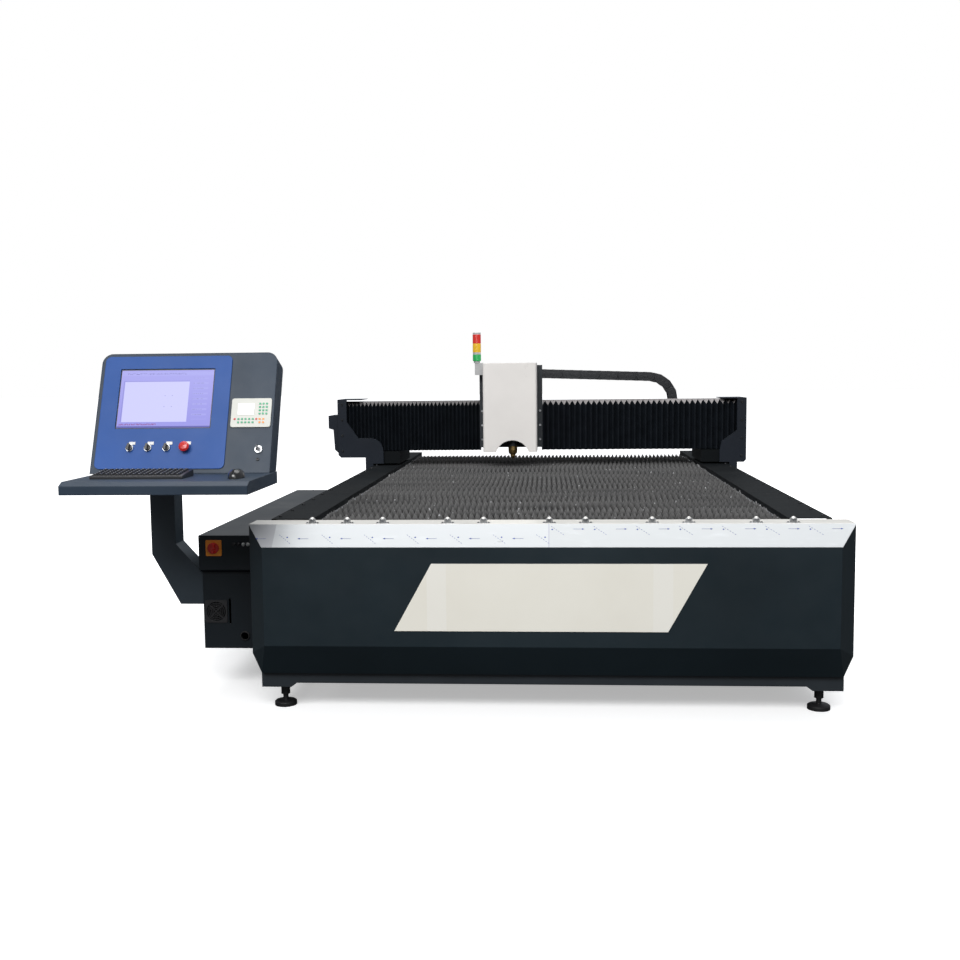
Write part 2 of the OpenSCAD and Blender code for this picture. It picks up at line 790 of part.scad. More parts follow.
module laser_source() color(paint_light) placed() {
    x0 = cab_right - 10 - source_w;
    y0 = cab_y1 - 60 - source_len;
    z0 = cab_z + sheet_t;
    foot_h = 12;
    grip_len = 112;
    block([x0, y0, z0 + foot_h], [x0 + source_w, y0 + source_len, z0 + foot_h + source_h]);
    for (y = [y0 + 40, y0 + source_len - 80]) {
        block([x0 + 13, y, z0], [x0 + source_w - 20, y + 40, z0 + foot_h + cut]);
    }
    for (z = [z0 + 0.2 * source_h, z0 + 0.8 * source_h]) translate([x0, y0 + (source_len - grip_len) / 2, z]) {
        block([-25, 0, 0], [cut, 12, 14]);
        block([-25, grip_len - 12, 0], [cut, grip_len, 14]);
        block([-25, 0, 0], [-14, grip_len, 14]);
    }
}

// A door with its hinge bore at y = 0, reaching along +Y
module door_leaf() {
    r = door_t / 2;
    difference() {
        union() {
            block([-r, 0, door_z0], [r, door_len - r, door_z1]);
            translate([0, 0, door_z0]) cylinder(r = r, h = door_h);
        }
        block([-r + sheet_t, r + 8, door_z0 + 14], [r + cut, door_len - r - sheet_t, door_z1 - 14]);
        for (z = [door_z0 - cut, door_z1 - 14]) {
            translate([0, 0, z]) cylinder(r = hinge_r + hinge_fit, h = 14 + cut);
        }
    }
    block([-r - 8, door_len - 60, (door_z0 + door_z1) / 2 - 45], [-r + cut, door_len - 48, (door_z0 + door_z1) / 2 + 45]);
}

module door_front() color(paint_dark) placed() translate([door_x, door_y[0], 0]) door_leaf();

module door_rear() color(paint_dark) placed() translate([door_x, door_y[1], 0]) mirror([0, 1, 0]) door_leaf();

// Outline of the arm seen from the front, drawn in by d
function arm_edge(d) = [
    [post_x0 + d, tray_z - d], [post_x0 + arm_w - d, tray_z - d], [post_x0 + arm_w - d, arm_foot_z + 241 - d / 2],
    [cab_left - d, arm_foot_z + 121 - d], [cab_left - d, arm_foot_z + d],
    [post_x0 + 110 + d / 2, arm_foot_z + d], [post_x0 + d, arm_foot_z + 200 + d / 2]
];

module console_arm() color(paint_black) placed() {
    neck_y = tray_back - neck_len;
    difference() {
        along_y(arm_y0, arm_y1) polygon(arm_edge(0));
        along_y(arm_y0 + arm_wall, arm_y1 - arm_wall) polygon(arm_edge(arm_wall));
    }
    difference() {
        block([post_x0, neck_y, tray_z - neck_h], [post_x0 + arm_w, arm_y0 + cut, tray_z]);
        block([post_x0 + arm_wall, neck_y + arm_wall, tray_z - neck_h + arm_wall],
              [post_x0 + arm_w - arm_wall, arm_y0 - arm_wall, tray_z - arm_wall]);
    }
}

module console_tray() color(paint_black) placed() {
    front = -tray_front;
    x0 = con_x1 + 6 - tray_w;
    outer = [
        [front, tray_z], [front, tray_z + tray_lip], [front + tray_bevel, tray_top],
        [tray_back, tray_top], [tray_back, tray_z]
    ];
    t = sheet_t;
    difference() {
        along_x(x0, x0 + tray_w) polygon(outer);
        along_x(x0 + t, x0 + tray_w - t) polygon([
            [front + t, tray_z + t], [front + t, tray_z + tray_lip - t / 2], [front + tray_bevel + t / 2, tray_top - t],
            [tray_back + cut, tray_top - t], [tray_back + cut, tray_z + t]
        ]);
    }
}

// Front outline of the housing in panel coordinates, drawn in by d
module housing_outline(d, down) {
    x0 = con_x0 - panel[0] + d;
    x1 = con_x1 - panel[0] - d;
    top = con_up - d;
    r = con_r - d;
    translate([x0, -down]) square([x1 - x0, down + top - r]);
    translate([x0 + r, top - r - 1]) square([x1 - x0 - 2 * r, r + 1]);
    translate([x0 + r, top - r]) circle(r = r);
    translate([x1 - r, top - r]) circle(r = r);
}

module console_housing() color(paint_black) placed() difference() {
    on_panel() translate([0, 0, -con_t]) linear_extrude(con_t) housing_outline(0, con_down + 60);
    on_panel() translate([0, 0, sheet_t - con_t]) linear_extrude(con_t - 2 * sheet_t)
        housing_outline(sheet_t, con_down + 120);
    on_panel() translate([-screen_w / 2 - 3, screen_v - screen_h / 2 - 3, -10]) cube([screen_w + 6, screen_h + 6, 12]);
    on_panel() for (u = switch_u) translate([u, switch_v, -10]) cylinder(r = shank_r + 0.5, h = 12);
    on_panel() translate([key_u, key_v, -10]) cylinder(r = shank_r + 0.5, h = 12);
    block([con_x0 - 50, -200, tray_top - 300], [con_x1 + 50, 500, tray_top]);
}

module panel_bezel() color([0.2, 0.36, 0.62]) placed() on_panel() difference() {
    linear_extrude(bezel_t) round_rect(bezel_w, bezel_h, 20);
    translate([-screen_w / 2 - 1, screen_v - screen_h / 2 - 1, -1]) cube([screen_w + 2, screen_h + 2, bezel_t + 2]);
    for (u = switch_u) translate([u, switch_v, -1]) cylinder(r = shank_r + 0.5, h = bezel_t + 2);
}

module monitor() color([0.05, 0.06, 0.08]) placed() on_panel() {
    translate([-screen_w / 2, screen_v - screen_h / 2, -24]) cube([screen_w, screen_h, 25]);
    translate([-screen_w / 2 - 12, screen_v - screen_h / 2 - 12, -30]) cube([screen_w + 24, screen_h + 24, 30 - sheet_t]);
}

module height_keypad() color([0.8, 0.82, 0.84]) placed() on_panel() translate([331, -7, 0]) {
    linear_extrude(6) round_rect(keypad_w, keypad_h, 6);
    translate([-0.13 * keypad_w, 0.12 * keypad_h, 5]) linear_extrude(2) round_rect(0.4 * keypad_w, 0.4 * keypad_h, 3);
    for (i = [0 : 2], j = [0 : 3]) {
        translate([keypad_w * (0.21 + 0.085 * i), keypad_h * (0.33 - 0.115 * j), 5]) linear_extrude(2) round_rect(8, 7, 2);
    }
    for (i = [0 : 6], j = [0 : 1]) {
        translate([keypad_w * (0.09 * i - 0.4), keypad_h * (-0.34 + 0.115 * j), 5]) linear_extrude(2) round_rect(8, 7, 2);
    }
}

module keyboard() color(paint_black) placed() translate([keyb_x0, keyb_y0, tray_top]) {
    front_t = keyb_t - 12;
    key_w = (keyb_w - 24) / 16;
    rise = 12 / keyb_d;
    along_x(0, keyb_w) polygon([[0, 0], [keyb_d, 0], [keyb_d, keyb_t], [0, front_t]]);
    for (i = [0 : 5], j = [0 : 15]) {
        y = 8 + i * (keyb_d - 14) / 6;
        translate([12 + j * key_w, y, front_t + rise * y - 2]) cube([key_w - 3, (keyb_d - 14) / 6 - 3, 6]);
    }
}

module mouse() color(paint_black) placed() translate([con_x1 - 72, -125, tray_top]) intersection() {
    linear_extrude(34) {
        square([56, 50], center = true);
        for (s = [-1, 1]) translate([0, s * 22]) circle(r = 28);
    }
    translate([0, 6, -52]) sphere(r = 84);
}

module switch_bezels() color(steel) placed() on_panel() {
    for (u = switch_u) translate([u, switch_v, bezel_t]) difference() {
        cylinder(r = ring_r, h = ring_h);
        translate([0, 0, -1]) cylinder(r = shank_r + shank_fit, h = ring_h + 2);
    }
    translate([key_u, key_v, 0]) difference() {
        cylinder(r = ring_r, h = ring_h);
        translate([0, 0, -1]) cylinder(r = shank_r + shank_fit, h = ring_h + 2);
    }
}

// A selector knob on the panel
module selector(u) on_panel() translate([u, switch_v, 0]) {
    face = bezel_t + ring_h + 0.3;
    translate([0, 0, -12]) cylinder(r = shank_r, h = face + 13);
    translate([0, 0, face]) cylinder(r = ring_r - 2, h = 4);
    translate([-3.5, 2 - ring_r, face + 1]) cube([7, 2 * ring_r - 4, 15]);
}

module selector_left() color(paint_black) placed() selector(switch_u[0]);

module selector_middle() color(paint_black) placed() selector(switch_u[1]);

module selector_right() color(paint_black) placed() selector(switch_u[2]);

module estop_button() color([0.8, 0.08, 0.06]) placed() on_panel() translate([switch_u[3], switch_v, 0]) {
    face = bezel_t + ring_h + stop_travel + 1;
    translate([0, 0, -16]) cylinder(r = shank_r, h = face + 17);
    rotate_extrude() polygon([
        [0, face], [stop_r - 3, face], [stop_r, face + 4], [stop_r, face + 9], [stop_r - 6, face + 14], [0, face + 16]
    ]);
}

module panel_key() color(steel) placed() on_panel() translate([key_u, key_v, 0]) {
    translate([0, 0, -12]) cylinder(r = shank_r, h = 12 + ring_h + 1);
    translate([-1.2, -4, ring_h]) cube([2.4, 8, 14]);
    translate([-1.2, 0, ring_h + 20]) rotate([0, 90, 0]) cylinder(r = 11, h = 2.4);
}

// An open-top drawer between y0 and y1
module drawer(y0, y1) {
    a = y0 + drawer_side;
    b = y1 - drawer_side;
    difference() {
        block([drawer_x1 - drawer_d, a, drawer_z0], [drawer_x1, b, drawer_z1]);
        block([drawer_x1 - drawer_d + sheet_t, a + sheet_t, drawer_z0 + sheet_t],
              [drawer_x1 - sheet_t, b - sheet_t, drawer_z1 + cut]);
    }
    block([drawer_x1 - cut, a - 3, drawer_z0], [drawer_x1 + drawer_front_t, b + 3, drawer_z1 + 2]);
    for (y = [a + 300, b - 460]) {
        z = drawer_z0 + drawer_h / 2;
        block([drawer_x1 + drawer_front_t - cut, y, z - 8], [drawer_x1 + drawer_front_t + 30, y + 14, z + 8]);
        block([drawer_x1 + drawer_front_t - cut, y + 146, z - 8], [drawer_x1 + drawer_front_t + 30, y + 160, z + 8]);
        block([drawer_x1 + drawer_front_t + 18, y, z - 8], [drawer_x1 + drawer_front_t + 30, y + 160, z + 8]);
    }
}

module slag_drawer_front() color(paint_dark) placed() drawer(post_y[0] + post_len, post_y[1]);

module slag_drawer_rear() color(paint_dark) placed() drawer(post_y[1] + post_len, post_y[2]);

module gantry_beam() color(paint_dark) placed() {
    x0 = -end_left + end_wall;
    x1 = end_right - end_wall;
    tube_x([x0, gbeam_y0, gbeam_z0], [x1, gbeam_y1, gbeam_z1], tube_wall);
    block([x0 + 60, gbeam_y0 + 20, gbeam_z1 - cut], [x1 - 60, gbeam_y0 + 20 + rack_w, gbeam_z1 + 1.5]);
    block([lower_x - 60, gbeam_y1 - cut, shelf_top - 6], [x1, chain_y1 + 5, shelf_top]);
    block([lower_x - 24, chain_y0 + 2 * link_t + link_fit, shelf_top - cut],
          [lower_x + 10, chain_y1 - 2 * link_t - link_fit, shelf_top + 36]);
}

module end_plate_left() color(paint_black) placed() {
    top = gbeam_z1 + 43;
    foot = saddle_top - 35;
    lobe_r = 80;
    lobe_x = -beam_in - 97 - lobe_r;
    along_y(gy, gy + end_t) polygon(concat(
        [[-end_left, top], [-end_left + end_w, top], [-end_left + end_w, top - 134], [-end_left + 122, saddle_top + lobe_r]],
        [for (a = [90 : -15 : 0]) [lobe_x + lobe_r * cos(a), saddle_top + lobe_r * sin(a)]],
        [[lobe_x + lobe_r, cover_top + over_gap], [-leg_x, cover_top + over_gap], [-leg_x, saddle_z0],
         [-leg_out, saddle_z0], [-leg_out, foot], [-end_left + 16, foot], [-end_left, foot + 16]]
    ));
    block([-end_left, gy, foot + 16], [-end_left + end_wall, gbeam_y1, top]);
    block([-end_left, gy, top - end_cap_t], [-end_left + end_cap_w, gbeam_y1, top]);
    difference() {
        along_y(gy + 40, gbeam_y1 - 30) polygon([
            [-end_left + 2, top - 95], [-end_left - 63, top - 97], [-end_left - 63, top - 172],
            [-end_left - 35, top - 181], [-end_left - 28, foot + 45], [-end_left + 2, foot + 18]
        ]);
        along_y(gy + 40 + sheet_t, gbeam_y1 - 30 - sheet_t) polygon([
            [-end_left, top - 98], [-end_left - 60, top - 100], [-end_left - 60, top - 170],
            [-end_left - 32, top - 179], [-end_left - 25, foot + 46], [-end_left, foot + 24]
        ]);
    }
}

module end_plate_right() color(paint_black) placed() {
    top = gbeam_z1 + 35;
    foot = cover_top + over_gap;
    along_y(gy, gy + end_t) polygon([
        [end_right, top], [end_right - end_w, top], [end_right - end_w, top - 190], [beam_in + 114, saddle_top + 49],
        [beam_in + 103, saddle_top - 4], [beam_in + 103, foot], [leg_x, foot], [leg_x, saddle_z0],
        [leg_out, saddle_z0], [leg_out, foot], [end_right - 14, foot], [end_right, foot + 14]
    ]);
    block([end_right - end_wall, gy, foot + 14], [end_right, gbeam_y1, top]);
    block([end_right - end_cap_w, gy, top - end_cap_t], [end_right, gbeam_y1, top]);
}

module y_saddles() color(paint_dark) placed() both_sides() {
    y0 = gy + end_t;
    y1 = gy + saddle_len;
    along_y(y0, y1) polygon([
        [beam_in, saddle_top], [beam_in, cover_top + over_gap], [leg_x, cover_top + over_gap],
        [leg_x, saddle_z0 + saddle_plate_t], [rail_x - bearing_w / 2, saddle_z0 + saddle_plate_t],
        [rail_x - bearing_w / 2, saddle_z0], [leg_out, saddle_z0], [leg_out, saddle_top]
    ]);
    block([beam_in + 10, gbeam_y0 + 36, saddle_top - cut], [leg_out - 8, gbeam_y1 - 6, gbeam_z0]);
    for (y = [y0 + 20, y1 - 20 - bearing_len]) difference() {
        block([rail_x - bearing_w / 2, y, beam_top + 5], [rail_x + bearing_w / 2, y + bearing_len, saddle_z0 + cut]);
        block([rail_x - rail_w / 2 - rail_fit, y - cut, beam_top],
              [rail_x + rail_w / 2 + rail_fit, y + bearing_len + cut, rail_top + rail_fit]);
    }
}

module y_motors() color(paint_black) placed() both_sides() {
    x = leg_x - 35;
    y = gy + saddle_len - 60;
    block([x - 52, y - 52, saddle_top], [x + 52, y + 52, saddle_top + 14]);
    block([x - 44, y - 44, saddle_top + 13], [x + 44, y + 44, saddle_top + 70]);
    block([x - 38, y - 38, saddle_top + 69], [x + 38, y + 38, saddle_top + 190]);
    block([x - 16, y + 37, saddle_top + 140], [x + 16, y + 56, saddle_top + 172]);
}

module x_rails() color(steel) placed() {
    for (z = xrail_z) {
        block([40 - end_left, gbeam_y0 - xrail_h, z - rail_w / 2], [end_right - 40, gbeam_y0, z + rail_w / 2]);
    }
}

// A run of pleats from x0 to x1 round the front of the gantry beam
module bellows(x0, x1) {
    n = 2 * pleat_count;
    xs = [for (i = [0 : n]) x0 + i * (x1 - x0) / n];
    ins = [for (i = [0 : n]) (i % 2) * pleat_d];
    difference() {
        intersection() {
            translate([0, 0, bell_z0 - cut]) linear_extrude(bell_z1 - bell_z0 + 2 * cut) polygon(concat(
                [for (i = [0 : n]) [xs[i], bell_y0 + ins[i]]], [[x1, bell_y1], [x0, bell_y1]]
            ));
            along_y(bell_y0 - cut, bell_y1 + cut) polygon(concat(
                [for (i = [0 : n]) [xs[i], bell_z0 + ins[i]]], [for (i = [n : -1 : 0]) [xs[i], bell_z1 - ins[i]]]
            ));
        }
        block([x0 - cut, bell_y0 + pleat_d + bell_wall, gbeam_z0 - bell_gap], [x1 + cut, bell_y1 + cut, gbeam_z1 + bell_gap]);
    }
}

module bellows_left() color([0.13, 0.15, 0.17]) placed() bellows(-end_left + end_wall, carriage_x - plate_half);

module bellows_right() color([0.13, 0.15, 0.17]) placed() bellows(carriage_x + plate_half, end_right - end_wall);

// Pin number i of the drag chain, in X and Z
function chain_pin(i) =
    i <= upper_links ? [chain_x0 + i * link_pitch * cos(chain_slope), chain_z - i * link_pitch * sin(chain_slope)]
    : i <= upper_links + bend_links ? [
        bend_x + bend_r * cos(90 - chain_slope - (i - upper_links) * bend_step),
        bend_z + bend_r * sin(90 - chain_slope - (i - upper_links) * bend_step)
    ]
    : [bend_x - (i - upper_links - bend_links) * link_pitch, lower_z];

// Side plate of a link between y0 and y1
module link_plate(y0, y1) along_y(y0, y1) {
    translate([0, -link_h / 2]) square([link_pitch, link_h]);
    circle(r = link_h / 2);
    translate([link_pitch, 0]) circle(r = link_h / 2);
}

// Link number i; even links are the inner ones, odd links carry the pins
module chain_link(i) {
    p = chain_pin(i);
    q = chain_pin(i + 1);
    side = i % 2 == 0 ? link_t + link_fit : 0;
    a = chain_y0 + side;
    b = chain_y1 - side;
    reach = 2 * link_t + link_fit;
    translate([p[0], 0, p[1]]) rotate([0, -atan2(q[1] - p[1], q[0] - p[0]), 0]) {
        difference() {
            union() {
                link_plate(a, a + link_t);
                link_plate(b - link_t, b);
            }
            if (i % 2 == 0) {
                for (x = [0, link_pitch]) bar_y(x, 0, pin_r + link_fit, chain_y0, chain_y1);
            }
        }
        if (i % 2 == 1) {
            for (x = [0, link_pitch]) {
                bar_y(x, 0, pin_r, chain_y0 + 1, chain_y0 + reach);
                bar_y(x, 0, pin_r, chain_y1 - reach, chain_y1 - 1);
            }
        }
        for (z = [-link_h / 2, link_h / 2 - 5]) {
            block([link_pitch / 2 - 10, a + 1, z], [link_pitch / 2 + 10, b - 1, z + 5]);
        }
    }
}

module chain_upper() color(paint_black) placed() for (i = [0 : upper_links - 1]) chain_link(i);

module chain_bend() color(paint_black) placed()
    for (i = [upper_links : upper_links + bend_links - 1]) chain_link(i);

module chain_lower() color(paint_black) placed()
    for (i = [upper_links + bend_links : upper_links + bend_links + lower_links - 1]) chain_link(i);

module carriage_plate() color(paint_dark) placed() {
    x0 = carriage_x - plate_half;
    x1 = carriage_x + plate_half;
    arm_z = chain_z - link_h / 2 - 15;
    block([x0, car_y0, gbeam_z0 - 13], [x1, car_y1, hood_top - 12]);
    for (x = [x0, x1 - 5]) block([x, car_y0, bell_z0], [x + 5, gbeam_y0 - xrail_h - 4, bell_z1]);
    for (z = xrail_z, x = [carriage_x - 125, carriage_x + 125 - bearing_len]) difference() {
        block([x, car_y1 - cut, z - bearing_w / 2], [x + bearing_len, gbeam_y0 - 4, z + bearing_w / 2]);
        block([x - cut, gbeam_y0 - xrail_h - rail_fit, z - rail_w / 2 - rail_fit],
              [x + bearing_len + cut, gbeam_y0, z + rail_w / 2 + rail_fit]);
    }
    block([x0 + 10, car_y1 - cut, arm_z], [chain_x0 - 26, chain_y1, arm_z + 12]);
    block([chain_x0 - 60, chain_y0 + 2 * link_t + link_fit, arm_z + 11],
          [chain_x0 + 10, chain_y1 - 2 * link_t - link_fit, chain_z + 12]);
    for (x = [carriage_x - 67, carriage_x + 52]) block([x, gy + 4, gbeam_z0 + 32], [x + 15, car_y0 + cut, hood_top - 70]);
}

// Plan of the head cover with round front corners, drawn in by d
module hood_plan(d) {
    r = hood_r - d;
    y0 = gy - hood_d + d;
    translate([hood_x0 + d, y0 + r]) square([hood_w - 2 * d, car_y0 - y0 - r]);
    translate([hood_x0 + d + r, y0]) square([hood_w - 2 * d - 2 * r, 2 * r]);
    for (x = [hood_x0 + d + r, hood_x1 - d - r]) translate([x, y0 + r]) circle(r = r);
}

module head_cover() color(paint_light) placed() difference() {
    translate([0, 0, hood_z]) linear_extrude(hood_h) hood_plan(0);
    translate([0, 0, hood_z - cut]) linear_extrude(hood_h - sheet_t + cut) hood_plan(sheet_t);
    block([hood_x0 + sheet_t, car_y0 - 20, hood_z - cut], [hood_x1 - sheet_t, car_y0 + cut, hood_top - sheet_t]);
    bar_y(nozzle_x, hood_z - arch_drop, arch_r, gy - hood_d - cut, gy - hood_d + 20);
    block([hood_x1 - 10, gy - 90, hood_top - 48], [hood_x1 + cut, gy - 60, hood_top - 20]);
    translate([hood_x1 - 10, gy - 75, hood_top - 187]) rotate([0, 90, 0]) cylinder(r = 11, h = 20);
}

module head_drives() color(paint_black) placed() {
    top = hood_top - 18;
    block([carriage_x - 32, gy - 50, top - 100], [carriage_x + 32, car_y0, top]);
    translate([carriage_x, gy - 4, gbeam_z0 + 60]) cylinder(r = 6, h = top - 100 - gbeam_z0 - 59);
    arm_z = chain_z - link_h / 2 - 15;
    block([carriage_x - 110, gbeam_y0 + 10, gbeam_z1 + 20], [carriage_x - 40, gbeam_y0 + 80, arm_z]);
    translate([carriage_x - 75, gbeam_y0 + 45, gbeam_z1 + 4]) cylinder(r = 18, h = 17);
}

module lamp_post() color(paint_black) placed() {
    block([lamp_x - 12, lamp_y - 14, hood_top - 67], [hood_x0, lamp_y + 14, lamp_foot]);
    translate([lamp_x, lamp_y, lamp_foot]) {
        translate([0, 0, -cut]) cylinder(r = lamp_r - 6, h = 12);
        translate([0, 0, 10]) cylinder(r = lamp_rod_r, h = lamp_h - 12);
        translate([0, 0, 49]) cylinder(r = lamp_r - 1, h = 12);
        translate([0, 0, lamp_h - 11]) cylinder(r = lamp_r - 1, h = 11);
    }
}

module lamp_lenses() color([0.75, 0.2, 0.12]) placed() translate([lamp_x, lamp_y, lamp_foot]) {
    step = (lamp_h - 72) / 2;
    for (span = [[11, 49], [61, 60.5 + step], [61 + step, lamp_h - 11]]) {
        difference() {
            translate([0, 0, span[0]]) cylinder(r = lamp_r, h = span[1] - span[0]);
            translate([0, 0, span[0] - cut]) cylinder(r = lamp_rod_r + shank_fit, h = span[1] - span[0] + 2 * cut);
        }
    }
}

module z_slide() color(steel) placed() {
    z0 = gbeam_z0 + 62;
    block([carriage_x - 95, gy - 30, z0], [carriage_x + 95, gy - 14, z0 + 230]);
    for (x = [carriage_x - 59.5, carriage_x + 59.5], z = [z0 + 10, z0 + 160]) difference() {
        block([x - 20, gy - 15, z], [x + 20, gy + 12, z + 60]);
        block([x - 7.5 - rail_fit, gy + 4 - rail_fit, z - cut], [x + 7.5 + rail_fit, gy + 20, z + 60 + cut]);
    }
    difference() {
        block([carriage_x - 22, gy - 15, z0 + 90], [carriage_x + 22, gy + 10, z0 + 140]);
        translate([carriage_x, gy - 4, z0]) cylinder(r = 6 + rail_fit, h = 200);
    }
}

module cutting_head() color(paint_black) placed() {
    z0 = nozzle_z + 142;
    block([nozzle_x - 46, axis_y - 38, z0], [nozzle_x + 46, gy - 30, z0 + 190]);
    translate([nozzle_x, axis_y, nozzle_z + 72]) cylinder(r = 34, h = 71);
    translate([nozzle_x, axis_y, z0 + 189]) cylinder(r = 20, h = 50);
    translate([nozzle_x, axis_y, z0 + 238]) cylinder(r = 14, h = 40);
    translate([nozzle_x + 45, axis_y, z0 + 60]) rotate([0, 90, 0]) cylinder(r = 9, h = 22);
}

module nozzle() color([0.72, 0.55, 0.3]) placed() translate([nozzle_x, axis_y, nozzle_z]) rotate_extrude() polygon([
    [1, 0], [6, 0], [9, 8], [14, 14], [14, 22], [24, 30], [26, 48], [26, 72], [1, 72]
]);

rail_beam_left();
rail_beam_right();
side_sills();
frame_posts();
cross_members();
front_apron();
front_strip();
name_plate();
transfer_balls();
slats();
slat_combs();
y_rails();
rail_covers();
rear_cover();
left_panel();
levelling_feet();
cabinet_front();
cabinet_frame();
fan_grille();
switch_plate();
laser_source();
main_switch_knob();
door_front();
door_rear();
console_arm();
console_tray();
console_housing();
panel_bezel();
monitor();
height_keypad();
keyboard();
mouse();
switch_bezels();
selector_left();
selector_middle();
selector_right();
estop_button();
panel_key();
slag_drawer_front();
slag_drawer_rear();
gantry_beam();
end_plate_left();
end_plate_right();
y_saddles();
y_motors();
x_rails();
bellows_left();
bellows_right();
chain_lower();
chain_bend();
chain_upper();
carriage_plate();
head_cover();
head_drives();
lamp_post();
lamp_lenses();
z_slide();
cutting_head();
nozzle();
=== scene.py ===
import math

import bmesh
import bpy
from mathutils import Matrix, Vector


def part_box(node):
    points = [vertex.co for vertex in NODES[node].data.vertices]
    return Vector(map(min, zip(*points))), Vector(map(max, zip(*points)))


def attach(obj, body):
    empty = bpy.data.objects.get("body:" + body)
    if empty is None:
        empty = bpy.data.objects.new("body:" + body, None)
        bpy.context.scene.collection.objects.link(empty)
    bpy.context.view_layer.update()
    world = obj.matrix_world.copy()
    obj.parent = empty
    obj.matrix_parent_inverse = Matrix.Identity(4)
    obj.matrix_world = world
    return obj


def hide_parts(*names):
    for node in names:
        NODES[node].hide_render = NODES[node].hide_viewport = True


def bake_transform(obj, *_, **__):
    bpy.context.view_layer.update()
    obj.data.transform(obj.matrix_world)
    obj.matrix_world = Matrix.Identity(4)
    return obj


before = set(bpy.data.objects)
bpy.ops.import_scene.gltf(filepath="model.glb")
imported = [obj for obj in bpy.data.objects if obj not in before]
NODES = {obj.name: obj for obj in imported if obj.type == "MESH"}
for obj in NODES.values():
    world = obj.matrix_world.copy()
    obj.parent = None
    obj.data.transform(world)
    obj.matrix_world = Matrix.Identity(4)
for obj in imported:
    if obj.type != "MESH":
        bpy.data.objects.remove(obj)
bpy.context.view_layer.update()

# Places below are in millimetres from the bed centreline, the front cover's face and the floor
ORIGIN = Vector((-269.0, 1765.0, 0.0))
TO_METRES, TO_MILLIMETRES = Matrix.Scale(0.001, 4), Matrix.Scale(1000.0, 4)
TO_FRAME = TO_METRES @ Matrix.Translation(-ORIGIN)
FORWARD = Matrix.Rotation(math.radians(90), 4, "X")  # local Z looks to the front
SIDEWAYS = Matrix(((0, 0, 1, 0), (1, 0, 0, 0), (0, 1, 0, 0), (0, 0, 0, 1)))  # local X, Y, Z along Y, Z, X
PANEL_TILT = math.radians(68)
GANTRY_Y = 2655.0  # front of the gantry's end covers
FACE_TOP, STRIP_TOP, STRIP_T, STRIP_DEPTH = 633.0, 708.0, 2.0, 80.0
PLATE_X, FILM_JOINT_X, FILM_BARE_X = 6.0, 6.0, -996.0
SLAT_HALF, SLAT_FOOT = 884.0, 608.0


def at(x, y, z):
    """A machine point in millimetres as a frame point in metres."""
    return TO_FRAME @ Vector((x, y, z))


def moved(x, y, z):
    """A shift in millimetres."""
    return Matrix.Translation((x, y, z))


PANEL = moved(-1425.0, 143.5, 1122.0) @ Matrix.Rotation(PANEL_TILT, 4, "X")  # the console's face


# Node trees


class Sock:
    """An output socket that takes part in arithmetic."""

    def __init__(self, tree, node, out=0):
        self.tree, self.made = tree, node
        self.out = node.outputs[out] if node.outputs else None

    def __getitem__(self, name):
        return Sock(self.tree, self.made, name)

    def math(self, operation, *values):
        return self.tree.node("ShaderNodeMath", {"operation": operation}, *values)

    def __add__(self, other):
        return self.math("ADD", self, other)

    def __sub__(self, other):
        return self.math("SUBTRACT", self, other)

    def __rsub__(self, other):
        return self.math("SUBTRACT", other, self)

    def __mul__(self, other):
        return self.math("MULTIPLY", self, other)

    def __truediv__(self, other):
        return self.math("DIVIDE", self, other)

    def __rtruediv__(self, other):
        return self.math("DIVIDE", other, self)

    def __mod__(self, other):
        return self.math("FLOORED_MODULO", self, other)

    def __gt__(self, other):
        return self.math("GREATER_THAN", self, other)

    def __lt__(self, other):
        return self.math("LESS_THAN", self, other)

    def __abs__(self):
        return self.math("ABSOLUTE", self, 0.0)

    def floor(self):
        return self.math("FLOOR", self, 0.0)

    def least(self, other):
        return self.math("MINIMUM", self, other)

    def most(self, other):
        return self.math("MAXIMUM", self, other)

    def ramp(self, low, high):
        """0 at low and 1 at high, smooth between them."""
        settings = {"interpolation_type": "SMOOTHSTEP"}
        return self.tree.node("ShaderNodeMapRange", settings, self, low, high, 0.0, 1.0)

    def within(self, low, high):
        """1 between low and high, 0 elsewhere."""
        return (self > low) * (self < high)

    def mix(self, first, second):
        """The first colour where this is 0 and the second where it is 1."""
        made = self.tree.node("ShaderNodeMix", {"data_type": "RGBA"}, inputs={0: self, 6: first, 7: second})
        return Sock(self.tree, made.made, 2)

    __radd__ = __add__
    __rmul__ = __mul__


class Tree:
    """A node tree in which one method makes any node: settings first, then inputs."""

    def __init__(self, nodes):
        self.nodes = nodes

    def feed(self, socket, value):
        if isinstance(value, Sock):
            self.nodes.links.new(value.out, socket)
        elif hasattr(socket, "default_value"):
            if isinstance(value, tuple) and len(value) == 3 and len(socket.default_value) == 4:
                value = (*value, 1.0)
            socket.default_value = value

    def node(self, kind, settings=None, *values, inputs=None):
        made = self.nodes.nodes.new(kind)
        for name, value in (settings or {}).items():
            setattr(made, name, value)
        for socket, value in zip(made.inputs, values):
            self.feed(socket, value)
        for name, value in (inputs or {}).items():
            self.feed(made.inputs[name], value)
        return Sock(self, made)


